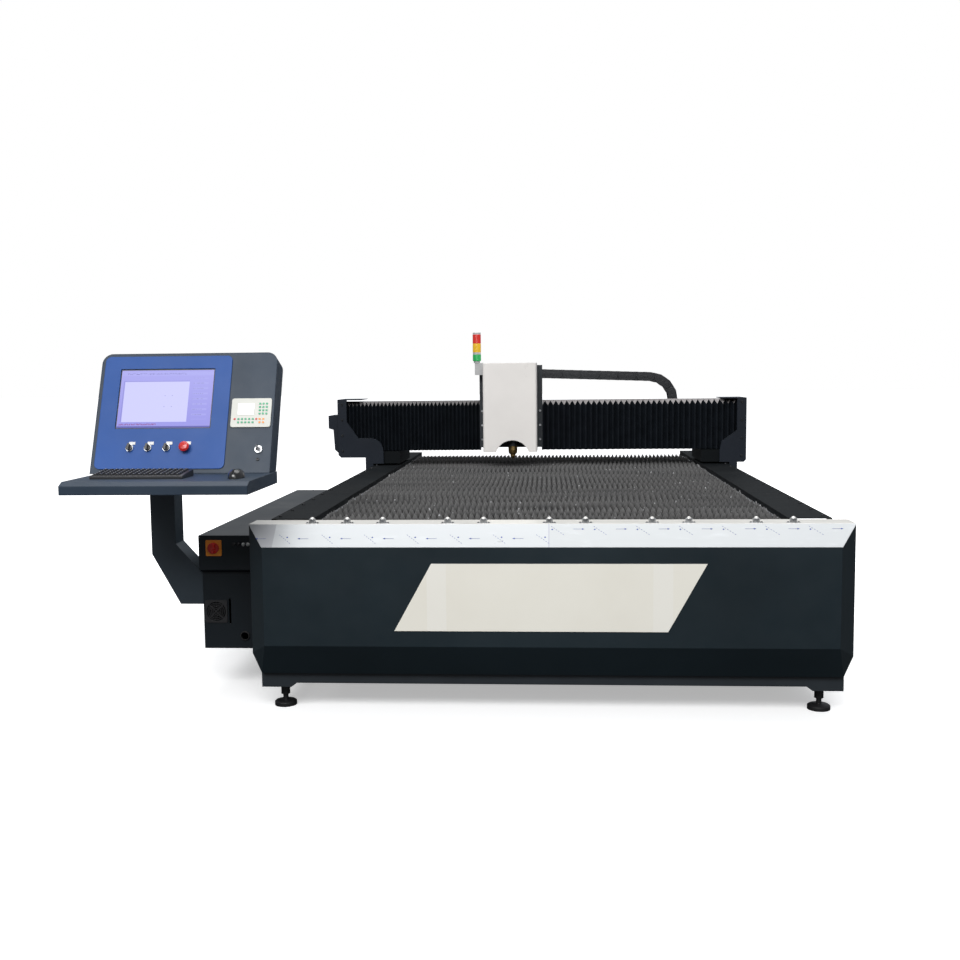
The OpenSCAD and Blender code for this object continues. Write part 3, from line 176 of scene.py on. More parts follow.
class Shade(Tree):
    """A material with one Principled shader."""

    def __init__(self, name, **constants):
        self.material = bpy.data.materials.new(name)
        self.material.use_nodes = True
        super().__init__(self.material.node_tree)
        self.shader = self.nodes.nodes["Principled BSDF"]
        for key, value in constants.items():
            self.feed(self.shader.inputs[key.replace("_", " ")], value)
        self.place = self.node("ShaderNodeTexCoord")["Object"]

    def set(self, **sockets):
        for key, value in sockets.items():
            self.feed(self.shader.inputs[key.replace("_", " ")], value)
        return self.material

    def split(self, vector):
        parts = self.node("ShaderNodeSeparateXYZ", None, vector)
        return parts["X"], parts["Y"], parts["Z"]

    def noise(self, scale, detail=3.0, rough=0.55, vector=None):
        inputs = {"Vector": vector or self.place, "Scale": scale, "Detail": detail, "Roughness": rough}
        return self.node("ShaderNodeTexNoise", None, inputs=inputs)["Fac"]

    def stretched(self, x, y, z):
        """Object coordinates scaled along each axis."""
        inputs = {"Vector": self.place, "Scale": (x, y, z)}
        return self.node("ShaderNodeMapping", {"vector_type": "POINT"}, inputs=inputs)

    def relief(self, height, strength, distance, edge):
        """A bump over edges that are rounded by edge metres."""
        soft = self.node("ShaderNodeBevel", {"samples": 4}, edge)
        inputs = {"Strength": strength, "Distance": distance, "Height": height, "Normal": soft}
        return self.node("ShaderNodeBump", None, inputs=inputs)

    def upward(self):
        """1 on faces that look up, 0 on upright ones."""
        return self.split(self.node("ShaderNodeNewGeometry")["Normal"])[2].ramp(0.55, 0.95)


def tint(colour, factor):
    return tuple(min(1.0, c * factor) for c in colour)


def coat(name, colour, rough=0.42, grain=700.0, bump=0.12, spread=0.14, dust=0.0, edge=0.002, **constants):
    """Powder coat or moulded plastic: cloudy colour, fine grain, dust on what faces up."""
    s = Shade(name, **constants)
    cloud, fine = s.noise(1.7, 4.0), s.noise(grain, 2.0)
    smear = s.noise(9.0, 5.0, 0.65)
    base = cloud.ramp(0.3, 0.7).mix(tint(colour, 1 - spread), tint(colour, 1 + spread))
    if dust:
        base = (s.upward() * smear.ramp(0.35, 0.8) * dust).mix(base, (0.46, 0.45, 0.43))
    return s.set(
        Base_Color=base,
        Roughness=(smear - 0.5) * 0.22 + (cloud - 0.5) * 0.12 + rough,
        Normal=s.relief(fine, bump, 0.0004, edge),
    )


def metal(name, colour, rough=0.3, along=(1.0, 1.0, 1.0), scratch=0.08, edge=0.001):
    """Ground or turned metal with fine marks along one direction."""
    s = Shade(name, Metallic=1.0)
    marks = s.noise(420.0, 3.0, 0.6, s.stretched(*along))
    cloud = s.noise(14.0, 4.0)
    base = cloud.ramp(0.3, 0.75).mix(tint(colour, 0.82), tint(colour, 1.1))
    return s.set(
        Base_Color=base,
        Roughness=marks * 0.22 + (cloud - 0.5) * 0.15 + (rough - 0.08),
        Normal=s.relief(marks, scratch, 0.0003, edge),
    )


FRAME_PAINT = coat("frame_paint", (0.016, 0.021, 0.026), 0.42, dust=0.08)
COVER_PAINT = coat("cover_paint", (0.0092, 0.0172, 0.0225), 0.40, bump=0.08, dust=0.05, Specular_IOR_Level=0.4)
CABINET_PAINT = coat("cabinet_paint", (0.011, 0.015, 0.019), 0.34, bump=0.1, dust=0.10, Specular_IOR_Level=0.3)
BLACK_PAINT_AND_SHADE = coat("black_paint", (0.0040, 0.0055, 0.0066), 0.60, grain=1100.0, bump=0.2, dust=0.015,
                   Specular_IOR_Level=0.1)
END_PAINT = coat("end_paint", (0.0100, 0.0140, 0.0220), 0.44, grain=900.0, bump=0.12, dust=0.05,
                 Specular_IOR_Level=0.25)
CONSOLE_PAINT = coat("console_paint", (0.023, 0.038, 0.060), 0.48, grain=1300.0, bump=0.25, dust=0.04,
                     edge=0.006, Specular_IOR_Level=0.35)
# The console's paint made again for the arm, shifted to offset the tray's shadow on it: painted light
CONSOLE_PAINT_ARM_PAINTED_LIGHT = coat("arm_paint", (0.026, 0.038, 0.050), 0.46, grain=1300.0, bump=0.2, dust=0.04, edge=0.006)
HOOD_PAINT = coat("hood_paint", (0.92, 0.885, 0.845), 0.32, grain=500.0, bump=0.06, spread=0.05, edge=0.006,
                  Coat_Weight=0.2)
LIGHT_PAINT = coat("light_paint", (0.60, 0.61, 0.60), 0.38, spread=0.06)
BLUE = coat("blue_bezel", (0.025, 0.086, 0.305), 0.44, grain=1500.0, bump=0.14, spread=0.1, edge=0.003,
            Specular_IOR_Level=0.2)
BLACK_PLASTIC = coat("black_plastic", (0.020, 0.020, 0.022), 0.40, grain=1800.0, bump=0.2, edge=0.0008)
CHAIN_PLASTIC = coat("chain_plastic", (0.0095, 0.0105, 0.0130), 0.40, grain=900.0, bump=0.12, edge=0.0015, dust=0.08)
YELLOW = coat("yellow_plastic", (0.80, 0.26, 0.02), 0.34, grain=1500.0, bump=0.08, spread=0.06, edge=0.0008)
FOOT_BLACK = coat("foot_black", (0.012, 0.012, 0.013), 0.38, grain=800.0, bump=0.15)
MOUSE_PLASTIC = coat("mouse_plastic", (0.012, 0.012, 0.013), 0.24, grain=1800.0, bump=0.05, Coat_Weight=0.6)
LAMP_GREY = coat("lamp_grey", (0.52, 0.52, 0.52), 0.34, grain=1500.0, bump=0.06, spread=0.06, edge=0.001)
RED = coat("red_plastic", (0.55, 0.018, 0.014), 0.26, grain=1500.0, bump=0.05, spread=0.08, edge=0.001, Coat_Weight=0.3)
BLACK_METAL = coat("black_metal", (0.030, 0.031, 0.034), 0.36, grain=1600.0, bump=0.1, Metallic=0.6)
STEEL = metal("steel", (0.50, 0.51, 0.52), 0.32, (1.0, 1.0, 12.0))
RAIL_STEEL = metal("rail_steel", (0.62, 0.63, 0.64), 0.24, (8.0, 0.2, 8.0))
BRASS = metal("nozzle_brass", (0.74, 0.50, 0.20), 0.24, (1.0, 1.0, 30.0))
KEY_STEEL = metal("key_steel", (0.24, 0.24, 0.25), 0.42, (1.0, 1.0, 6.0))
BALL_STEEL = coat("ball_steel", (0.74, 0.73, 0.70), 0.28, grain=900.0, bump=0.05, spread=0.06, edge=0.001,
                  Metallic=0.25)
ZINC = metal("zinc", (0.55, 0.56, 0.58), 0.36, (1.0, 1.0, 1.0), 0.05, 0.0006)


def film():
    """Pale film over bright sheet: slightly wrinkled, in two lengths, bare at the left end, lighter and warmer on the
    flat top as painted light.
    """
    s = Shade("bright_strip", Metallic=0.15, Coat_Weight=0.3, Coat_Roughness=0.2)
    x, _, z = s.split(s.place)
    wrinkle = s.noise(22.0, 4.0, 0.6, s.stretched(0.35, 1.0, 1.0))
    tone = s.noise(1.3, 1.0, 0.4, s.stretched(1.0, 0.0, 0.0))
    joint, bare = x - at(FILM_JOINT_X, 0, 0).x, x < at(FILM_BARE_X, 0, 0).x
    # The flat top is lighter and warmer: painted light from above
    flat = z > at(0, 0, STRIP_TOP - 0.5).z
    base = (joint > 0.0).mix((0.575, 0.595, 0.605), (0.545, 0.565, 0.570))
    base = (tone.ramp(0.35, 0.65) * 0.35).mix(base, (0.53, 0.55, 0.57))
    base = (wrinkle.ramp(0.52, 0.8) * 0.5).mix(base, (0.69, 0.71, 0.73))
    base = (abs(joint) < 0.0022).mix(base, (0.45, 0.46, 0.52))
    base = bare.mix(base, (0.43, 0.44, 0.46))
    return s.set(
        Base_Color=flat.mix(base, (0.80, 0.78, 0.73)),
        Roughness=wrinkle * 0.25 + 0.2,
        Normal=s.relief(wrinkle, 0.25, 0.0012, 0.0015),
    )


def plate_paint():
    """Cream plate with two faintly paler upright bands."""
    s = Shade("cream_plate", Coat_Weight=0.15)
    x = s.split(s.place)[0]
    cloud, fine = s.noise(2.2, 4.0), s.noise(320.0, 2.0)
    band = abs(x - at(PLATE_X, 0, 0).x).within(0.37, 0.44) * 0.5
    base = cloud.ramp(0.3, 0.7).mix((0.83, 0.80, 0.71), (0.87, 0.845, 0.76))
    return s.set(
        Base_Color=band.mix(base, (0.90, 0.885, 0.83)),
        Roughness=(cloud - 0.5) * 0.16 + 0.36,
        Normal=s.relief(fine, 0.05, 0.0004, 0.001),
    )


def slat_steel():
    """Raw cut plate: grey towards the tips and near black lower down, where the darkening between the blades is painted
    shade; painted glints on the tips; pale at the ends.
    """
    s = Shade("slat_steel", Specular_IOR_Level=0.35)
    x, _, z = s.split(s.place)
    patch, speck = s.noise(5.0, 5.0, 0.6), s.noise(60.0, 4.0, 0.7)
    blade = s.noise(11.0, 2.0, 0.6, s.stretched(0.05, 1.0, 0.0))
    tip = z.ramp(0.675, 0.708)
    base = patch.ramp(0.35, 0.65).mix((0.016, 0.016, 0.017), (0.034, 0.032, 0.031))
    # Grey towards the tips and near black lower down: the darkening down between the blades is painted shade
    base = (tip * (speck * 0.6 + blade * 1.2 - 0.28)).mix(base, (0.26, 0.258, 0.256))
    base = (speck.ramp(0.60, 0.8) * patch.ramp(0.48, 0.7) * 0.3).mix(base, (0.15, 0.075, 0.04))
    ends = abs(x - at(0, 0, 0).x).ramp(0.862, 0.876) * 0.5
    # White specks on the tips are painted glints; the same white also marks the pale slat ends
    painted_glints_and_pale_ends = s.noise(30.0, 2.0, 0.6).ramp(0.68, 0.75).most(ends)
    base = (painted_glints_and_pale_ends * tip).mix(base, (0.74, 0.74, 0.76))
    return s.set(
        Base_Color=base,
        Metallic=tip * 0.3 + 0.2,
        Roughness=0.66 - tip * speck * 0.25,
        Normal=s.relief(speck, 0.3, 0.001, 0.0006),
    )


def bellows_cloth():
    """Coated cloth: nearly black, with a painted highlight along the folds, painted light on the faces that look up,
    and a fine weave.
    """
    s = Shade("bellows_cloth", Specular_IOR_Level=0.2)
    ridge = s.node("ShaderNodeAttribute", {"attribute_name": "ridge"})["Fac"]
    z = s.split(s.place)[2]
    weave = z.math("SINE", z * 1900.0) * 0.5 + s.noise(260.0, 2.0)
    cloth_blotches = s.noise(16.0, 4.0, 0.6)
    base = cloth_blotches.ramp(0.3, 0.7).mix((0.0036, 0.0052, 0.0078), (0.0072, 0.0098, 0.0140))
    # A painted highlight along the fold ridges
    base = (ridge.ramp(0.55, 1.0) * (cloth_blotches * 0.6 + 0.3)).mix(base, (0.020, 0.024, 0.030))
    # Pale on the faces that look up: painted light from above
    base = (s.upward() * (cloth_blotches * 0.5 + 0.6)).mix(base, (0.40, 0.375, 0.37))
    return s.set(
        Base_Color=base,
        Roughness=0.66 - ridge * 0.16,
        Normal=s.relief(weave, 0.18, 0.0004, 0.0008),
    )


def lens(name, colour):
    """Clear ribbed lamp lens over a dark core."""
    s = Shade(name, Coat_Weight=0.6, Coat_Roughness=0.08, Emission_Strength=0.4)
    z = s.split(s.place)[2]
    rib = abs(((z * 160.0) % 1.0) - 0.5) * 2.0
    cloud = s.noise(40.0, 2.0)
    base = rib.ramp(0.1, 0.9).mix(tint(colour, 0.45), colour)
    return s.set(
        Base_Color=base,
        Emission_Color=base,
        Roughness=cloud * 0.2 + 0.1,
        Normal=s.relief(rib, 0.4, 0.001, 0.001),
    )


def screen():
    """A lit screen with a plain generic window: bars, a blank canvas and a column of fields."""
    s = Shade("screen_glass", Roughness=0.2, Specular_IOR_Level=0.08, Emission_Strength=1.0)
    place = s.node("ShaderNodeUVMap", {"uv_map": "screen"})
    u, v, _ = s.split(place)
    grid = s.node("ShaderNodeMapping", None, inputs={"Vector": place, "Scale": (90, 34, 1)})
    inputs = {"Vector": grid, "Scale": 1.0, "Detail": 1.0}
    fine = s.node("ShaderNodeTexNoise", {"noise_dimensions": "2D"}, inputs=inputs)["Fac"]
    row = (v * 11.0) % 1.0
    side = v.within(0.14, 0.86)
    parts = (
        (v.within(0.905, 0.975) * 0.6, (0.42, 0.42, 0.86)),
        (v.within(0.925, 0.95) * (fine > 0.54) * u.within(0.06, 0.70) * 0.6, (0.10, 0.09, 0.34)),
        (u.within(0.03, 0.745) * v.within(0.10, 0.815) * 0.5, (0.22, 0.21, 0.60)),
        (u.within(0.045, 0.745) * v.within(0.10, 0.80), (0.60, 0.60, 0.965)),
        (abs(u - 0.53).within(0.035, 0.043) * abs(v - 0.46).within(0.09, 0.10), (0.18, 0.18, 0.45)),
        (u.within(0.79, 0.95) * row.within(0.30, 0.62) * side * 0.4, (0.45, 0.45, 0.88)),
        (u.within(0.79, 0.90) * row.within(0.40, 0.50) * (fine > 0.5) * side * 0.7, (0.14, 0.14, 0.40)),
        (v.within(0.045, 0.072) * u.within(0.02, 0.42) * (fine > 0.45) * 0.8, (0.26, 0.06, 0.24)),
        (v < 0.028, (0.10, 0.10, 0.42)),
    )
    base = v.ramp(0.0, 1.0).mix((0.30, 0.29, 0.76), (0.38, 0.37, 0.82))
    for share, colour in parts:
        base = share.mix(base, colour)
    return s.set(Base_Color=(fine * 0.1).mix((0.02, 0.02, 0.03), (0.04, 0.04, 0.06)), Emission_Color=base)


FILM = film()
CREAM = plate_paint()
SLAT = slat_steel()
CLOTH = bellows_cloth()
SCREEN = screen()
LENSES = {
    "green": lens("lamp_green", (0.02, 0.42, 0.10)),
    "yellow": lens("lamp_yellow", (0.85, 0.50, 0.02)),
    "red": lens("lamp_red", (0.70, 0.03, 0.02)),
}
LCD = coat("lcd_glass", (0.84, 0.86, 0.85), 0.2, grain=2000.0, bump=0.03, spread=0.04)
KEY_GREEN = coat("key_green", (0.05, 0.36, 0.18), 0.4, grain=2000.0, bump=0.08)
KEY_RED = coat("key_red", (0.62, 0.06, 0.05), 0.4, grain=2000.0, bump=0.08)
KEYPAD = coat("keypad_film", (0.56, 0.56, 0.51), 0.36, grain=900.0, bump=0.05, spread=0.04, edge=0.0015)
LABEL = coat("legend_plate", (0.66, 0.66, 0.65), 0.35, grain=1500.0, bump=0.04, spread=0.05)
INK = coat("film_ink", (0.022, 0.050, 0.30), 0.4, grain=900.0, bump=0.05, spread=0.2)
RUBBER = coat("rubber", (0.014, 0.014, 0.015), 0.62, grain=600.0, bump=0.3)


# Mesh pieces


class Solid:
    """Mesh parts in millimetres gathered into one piece."""

    def __init__(self):
        self.mesh = bmesh.new()
        self.layer = 0

    def add(self, part, where=None, bevel=0.0):
        if bevel:
            bmesh.ops.bevel(part, geom=part.edges[:], offset=bevel, segments=2, affect="EDGES", clamp_overlap=True)
        bmesh.ops.recalc_face_normals(part, faces=part.faces[:])
        if where is not None:
            part.transform(where)
        for face in part.faces:
            face.material_index = self.layer
        data = bpy.data.meshes.new("part")
        part.to_mesh(data)
        part.free()
        self.mesh.from_mesh(data)
        bpy.data.meshes.remove(data)
        return self

    def box(self, low, high, where=None, bevel=0.0):
        low, high = Vector(low), Vector(high)
        part = bmesh.new()
        spread = Matrix.Diagonal((*(high - low), 1.0))
        bmesh.ops.create_cube(part, size=1.0, matrix=Matrix.Translation((low + high) / 2) @ spread)
        return self.add(part, where, bevel)

    def prism(self, outline, low, high, where=None, bevel=0.0):
        """An outline in X and Y drawn out from low to high along Z."""
        part = bmesh.new()
        ring = [[part.verts.new((x, y, z)) for x, y in outline] for z in (low, high)]
        part.faces.new(ring[0][::-1])
        part.faces.new(ring[1])
        count = len(outline)
        for i in range(count):
            j = (i + 1) % count
            part.faces.new((ring[0][i], ring[0][j], ring[1][j], ring[1][i]))
        return self.add(part, where, bevel)

    def lathe(self, profile, where=None, sides=32):
        """A profile of (radius, height) turned about Z."""
        part = bmesh.new()
        rings = []
        for r, z in profile:
            if r < 1e-6:
                rings.append([part.verts.new((0, 0, z))])
            else:
                rings.append([part.verts.new((r * math.cos(a), r * math.sin(a), z))
                              for a in (2 * math.pi * k / sides for k in range(sides))])
        for low, high in zip(rings, rings[1:]):
            for k in range(sides):
                m = (k + 1) % sides
                loop = [low[k % len(low)], low[m % len(low)], high[m % len(high)], high[k % len(high)]]
                loop = list(dict.fromkeys(loop))
                if len(loop) > 2:
                    part.faces.new(loop)
        return self.add(part, where)

    def use(self, layer):
        """The material slot of the parts that follow."""
        self.layer = layer
        return self

    def done(self, name, body, materials, slot=None, replaces=(), matrix=TO_FRAME):
        data = bpy.data.meshes.new(name)
        self.mesh.transform(matrix)
        self.mesh.to_mesh(data)
        self.mesh.free()
        return finish_piece(data, name, body, materials, replaces)


def finish_piece(data, name, body, materials, replaces=(), smooth=35.0):
    """Makes a mesh a piece: its materials, smooth faces up to an angle, its body and replaced nodes."""
    for material in materials:
        data.materials.append(material)
    data.shade_smooth()
    data.set_sharp_from_angle(angle=math.radians(smooth))
    piece = bpy.data.objects.new(name, data)
    bpy.context.scene.collection.objects.link(piece)
    if body:
        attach(piece, body)
    if replaces:
        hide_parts(*replaces)
    return piece


def round_outline(w, h, r, steps=6):
    """A centred rectangle with round corners, counter-clockwise."""
    points = []
    for cx, cy, start in ((1, 1, 0), (-1, 1, 90), (-1, -1, 180), (1, -1, 270)):
        for k in range(steps + 1):
            a = math.radians(start + 90 * k / steps)
            points.append((cx * (w / 2 - r) + r * math.cos(a), cy * (h / 2 - r) + r * math.sin(a)))
    return points


# Geometry node trees


def geometry_tree(name, **inputs):
    """A geometry node tree with named inputs, given as name=(socket type, default)."""
    nodes = bpy.data.node_groups.new(name, "GeometryNodeTree")
    nodes.interface.new_socket("Geometry", in_out="OUTPUT", socket_type="NodeSocketGeometry")
    nodes.interface.new_socket("Geometry", in_out="INPUT", socket_type="NodeSocketGeometry")
    for key, (kind, default) in inputs.items():
        made = nodes.interface.new_socket(key.replace("_", " "), in_out="INPUT", socket_type="NodeSocket" + kind)
        if default is not None:
            made.default_value = default
    tree = Tree(nodes)
    return tree, tree.node("NodeGroupInput")


def close_tree(tree, geometry, material):
    """Ends a tree with real geometry in the given material."""
    real = tree.node("GeometryNodeRealizeInstances", None, geometry)
    painted = tree.node("GeometryNodeSetMaterial", None, inputs={"Geometry": real, "Material": material})
    tree.node("NodeGroupOutput", None, painted)
    return tree.nodes


def array_tree():
    """Copies of one piece in rows: step A from copy to copy, step B from row to row, rows drifting by up to Sway."""
    tree, given = geometry_tree(
        "rows_of_copies", Piece=("Object", None), Count_A=("Int", 1), Count_B=("Int", 1), Start=("Vector", (0, 0, 0)),
        Step_A=("Vector", (0, 0, 0)), Step_B=("Vector", (0, 0, 0)), Sway=("Float", 0.0), Material=("Material", None))
    index = tree.node("GeometryNodeInputIndex")
    column, row = index % given["Count A"], (index / given["Count A"]).floor()
    scaled = [tree.node("ShaderNodeVectorMath", {"operation": "SCALE"}, inputs={"Vector": given[n], "Scale": k})
              for n, k in (("Step A", column), ("Step B", row))]
    drift = tree.node("ShaderNodeTexNoise", {"noise_dimensions": "1D"}, inputs={"W": row * 0.55, "Scale": 1.0})["Fac"]
    jump = tree.node("ShaderNodeTexWhiteNoise", {"noise_dimensions": "1D"}, inputs={"W": (row / 4.0).floor()})["Value"]
    shift = ((drift - 0.5) * 2.0 + (jump - 0.5) * 1.2).most(-1.0).least(1.0) * given["Sway"]
    place = scaled[0]
    for more in (scaled[1], given["Start"], tree.node("ShaderNodeCombineXYZ", None, shift)):
        place = tree.node("ShaderNodeVectorMath", {"operation": "ADD"}, place, more)
    count = given["Count A"] * given["Count B"]
    points = tree.node("GeometryNodePoints", None, inputs={"Count": count, "Position": place})
    shape = tree.node("GeometryNodeObjectInfo", None, given["Piece"])["Geometry"]
    copies = tree.node("GeometryNodeInstanceOnPoints", None, inputs={"Points": points, "Instance": shape})
    return close_tree(tree, copies, given["Material"])


def link_tree():
    """Inner and outer chain links in turn on the mesh's points, each turned by the point's angle."""
    tree, given = geometry_tree(
        "chain_links", Inner=("Object", None), Outer=("Object", None), Material=("Material", None))
    turn, kind = (tree.node("GeometryNodeInputNamedAttribute", {"data_type": "FLOAT"}, name)["Attribute"]
                  for name in ("turn", "kind"))
    spin = tree.node("ShaderNodeCombineXYZ", None, inputs={"Y": turn})
    joined = tree.node("GeometryNodeJoinGeometry")
    for name, chosen in (("Inner", kind < 0.5), ("Outer", kind > 0.5)):
        shape = tree.node("GeometryNodeObjectInfo", None, given[name])["Geometry"]
        copies = tree.node("GeometryNodeInstanceOnPoints", None, inputs={
            "Points": given["Geometry"], "Selection": chosen, "Instance": shape, "Rotation": spin})
        tree.feed(joined.made.inputs[0], copies)
    return close_tree(tree, joined, given["Material"])


def pleat_tree():
    """A run of pleats: cloth folded in and out along X round three sides of a box, its top sloping to the front."""
    tree, given = geometry_tree(
        "pleats", Folds=("Int", 10), Low=("Vector", (0, 0, 0)), High=("Vector", (1, 1, 1)),
        Depth=("Float", 0.02), Slope=("Float", 0.03), Material=("Material", None))
    count = given["Folds"] * 2.0 + 1.0
    sheet = tree.node("GeometryNodeMeshGrid", None, 1.0, 3.0, count, 4)["Mesh"]
    low, high, spot = (tree.node("ShaderNodeSeparateXYZ", None, vector)
                       for vector in (given["Low"], given["High"], tree.node("GeometryNodeInputPosition")))
    along = spot["X"] + 0.5
    fold = (along * given["Folds"] * 2.0 + 0.5).floor() % 2.0
    inset = fold * given["Depth"]
    back, upper = abs(spot["Y"]) > 1.0, spot["Y"] < 0.0
    x = low["X"] + along * (high["X"] - low["X"])
    y = back * high["Y"] + (1.0 - back) * (low["Y"] + inset)
    lowered = (1.0 - back) * (1.0 - fold * 0.85) * given["Slope"]
    z = upper * (high["Z"] - lowered) + (1.0 - upper) * low["Z"]
    place = tree.node("ShaderNodeCombineXYZ", None, x, y, z)
    kept = tree.node("GeometryNodeStoreNamedAttribute", {"data_type": "FLOAT", "domain": "POINT"}, inputs={
        "Geometry": sheet, "Name": "ridge", "Value": 1.0 - fold})
    folded = tree.node("GeometryNodeSetPosition", None, inputs={"Geometry": kept, "Position": place})
    return close_tree(tree, folded, given["Material"])


def grown(tree, mesh=None, **values):
    """The plain mesh that a geometry node tree makes."""
    holder = bpy.data.objects.new("holder", mesh or bpy.data.meshes.new("holder"))
    bpy.context.scene.collection.objects.link(holder)
    modifier = holder.modifiers.new("nodes", "NODES")
    modifier.node_group = tree
    for item in tree.interface.items_tree:
        key = item.name.replace(" ", "_")
        if item.in_out == "INPUT" and key in values:
            modifier[item.identifier] = values[key]
    graph = bpy.context.evaluated_depsgraph_get()
    data = bpy.data.meshes.new_from_object(holder.evaluated_get(graph))
    holder.modifiers.remove(modifier)
    bpy.data.objects.remove(holder)
    return data


ROWS, LINKS, PLEATS = array_tree(), link_tree(), pleat_tree()


def pattern(solid, material):
    """A small mesh that other trees copy; it is not shown itself."""
    piece = solid.done("pattern", None, [material], matrix=TO_METRES)
    bpy.context.scene.collection.objects.unlink(piece)
    return piece


def rows(name, body, piece, material, start, count_a, step_a, count_b=1, step_b=(0, 0, 0), slot=None, replaces=(),
         matrix=None, sway=0.0):
    """Copies of a pattern in rows, with start and steps in millimetres of the machine or of a given frame."""
    start, step_a, step_b = ([c * 0.001 for c in vector] for vector in (start, step_a, step_b))
    data = grown(ROWS, Piece=piece, Count_A=count_a, Count_B=count_b, Start=start, Step_A=step_a, Step_B=step_b,
                 Sway=sway * 0.001, Material=material)
    data.transform(TO_FRAME @ (matrix or Matrix()) @ TO_MILLIMETRES)
    data.materials.clear()
    return finish_piece(data, name, body, [material], replaces)


def paint(material, *names):
    """Gives CAD nodes a better material."""
    for name in names:
        data = NODES[name].data
        data.materials.clear()
        data.materials.append(material)


# CAD nodes that keep their shape

paint(FRAME_PAINT, "rail_beam_left", "rail_beam_right", "side_sills", "frame_posts", "cross_members", "gantry_beam",
      "carriage_plate", "slag_drawer_front", "slag_drawer_rear")
paint(COVER_PAINT, "front_apron", "rear_cover", "left_panel")
paint(CABINET_PAINT, "cabinet_front", "cabinet_frame", "door_front", "door_rear")
# The rail covers are black; the saddles take the same black as painted shade
paint(BLACK_PAINT_AND_SHADE, "rail_covers", "y_saddles")
paint(END_PAINT, "end_plate_left", "end_plate_right")
paint(CONSOLE_PAINT, "console_tray", "console_housing")
paint(CONSOLE_PAINT_ARM_PAINTED_LIGHT, "console_arm")
paint(HOOD_PAINT, "head_cover")
paint(LIGHT_PAINT, "laser_source")
paint(CREAM, "name_plate")
paint(STEEL, "z_slide", "switch_bezels")
paint(KEY_STEEL, "panel_key")
paint(BALL_STEEL, "transfer_balls")
paint(FOOT_BLACK, "levelling_feet")
paint(RAIL_STEEL, "y_rails", "x_rails")
paint(BLACK_PLASTIC, "fan_grille", "selector_left", "selector_middle", "selector_right")
paint(LAMP_GREY, "lamp_post")
paint(BLACK_METAL, "y_motors", "head_drives", "cutting_head")
paint(YELLOW, "switch_plate")
paint(RED, "main_switch_knob", "estop_button")
paint(BLUE, "panel_bezel")
paint(BRASS, "nozzle")
paint(FILM, "front_strip")
NODES["front_strip"].data.materials.append(STEEL)
for face in NODES["front_strip"].data.polygons:
    face.material_index = int(face.center.z > (STRIP_TOP + 0.5) / 1000)  # the ball cups on the film's flat top


# Slat bed

TEETH, SLATS, SLAT_STEP, SLAT_T, SLAT_Y = 71, 85, 39.0, 3.0, 222.0
TOOTH, TOOTH_ROOT, TOOTH_TOP, TIP = 2 * SLAT_HALF / (TEETH + 1), 72, 100, 1.5
COMB_FRONT, COMB_REAR, COMB_FOOT, COMB_TOP, COMB_T = 203, 3538, 570, 690, 12
half = TOOTH / 2
tooth = Solid().prism(
    [(0, 0), (TOOTH, 0), (TOOTH, TOOTH_ROOT), (half + TIP, TOOTH_TOP), (half - TIP, TOOTH_TOP), (0, TOOTH_ROOT)],
    0, SLAT_T, moved(0, SLAT_T, 0) @ FORWARD)
rows("slat_blades", "bed", pattern(tooth, SLAT), SLAT, (half - SLAT_HALF, SLAT_Y, SLAT_FOOT), TEETH, (TOOTH, 0, 0),
     SLATS, (0, SLAT_STEP, 0), "slat_steel", ["slats"], sway=half)

comb = [(COMB_FRONT, COMB_FOOT), (COMB_REAR, COMB_FOOT), (COMB_REAR, COMB_TOP)]
for k in range(SLATS - 1, -1, -1):
    y = SLAT_Y + k * SLAT_STEP
    comb += [(y + 4.0, COMB_TOP), (y + 3.5, SLAT_FOOT), (y - 0.5, SLAT_FOOT), (y - 1.0, COMB_TOP)]
comb.append((COMB_FRONT, COMB_TOP))
combs = Solid()
for x in (-886, 874):
    combs.prism(comb, x, x + COMB_T, SIDEWAYS)
combs.done("slat_comb_bars", "bed", [ZINC], "frame_paint", ["slat_combs"])


# Bellows

FOLDS, FOLD_DEPTH = 36, 0.024


def bellows(name, node, fixed, moving):
    """Pleats from the end at the gantry's end cover to the one at the carriage, as one piece baked in place without a
    body.
    """
    low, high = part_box(node)
    left, right = (at(x, 0, 0).x for x in sorted((fixed, moving)))
    data = grown(PLEATS, Folds=FOLDS, Low=(left, low.y, low.z), High=(right, high.y, high.z), Depth=FOLD_DEPTH,
                 Material=CLOTH)
    data.materials.clear()
    shell = bmesh.new()
    shell.from_mesh(data)
    bmesh.ops.recalc_face_normals(shell, faces=shell.faces[:])
    shell.to_mesh(data)
    shell.free()
    piece = finish_piece(data, name, None, [CLOTH], [node], 10.0)
    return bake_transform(piece)


bellows("bellows_pleats_left", "bellows_left", -1237, -410.3)
bellows("bellows_pleats_right", "bellows_right", 1108, -39.7)


# Drag chain

PITCH, SLOPE, UPPER, BEND, LOWER = 56.0, math.radians(2.1), 12, 8, 9  # the last three count links
CHAIN_X, CHAIN_Y, CHAIN_Z = -58.0, GANTRY_Y + 285.0, 1247.0
CHAIN_W, LINK_R, LINK_T = 75.0, 27.0, 5.0
STEP = (math.pi - SLOPE) / BEND
BEND_R = PITCH / (2 * math.sin(STEP / 2))
BEND_X = CHAIN_X + UPPER * PITCH * math.cos(SLOPE) - BEND_R * math.sin(SLOPE)
BEND_Z = CHAIN_Z - UPPER * PITCH * math.sin(SLOPE) - BEND_R * math.cos(SLOPE)


def chain_pin(i):
    """X and Z of the chain's pin i, counted from the carriage."""
    if i <= UPPER:
        return CHAIN_X + i * PITCH * math.cos(SLOPE), CHAIN_Z - i * PITCH * math.sin(SLOPE)
    if i <= UPPER + BEND:
        a = math.pi / 2 - SLOPE - (i - UPPER) * STEP
        return BEND_X + BEND_R * math.cos(a), BEND_Z + BEND_R * math.sin(a)
    return BEND_X - (i - UPPER - BEND) * PITCH, BEND_Z - BEND_R


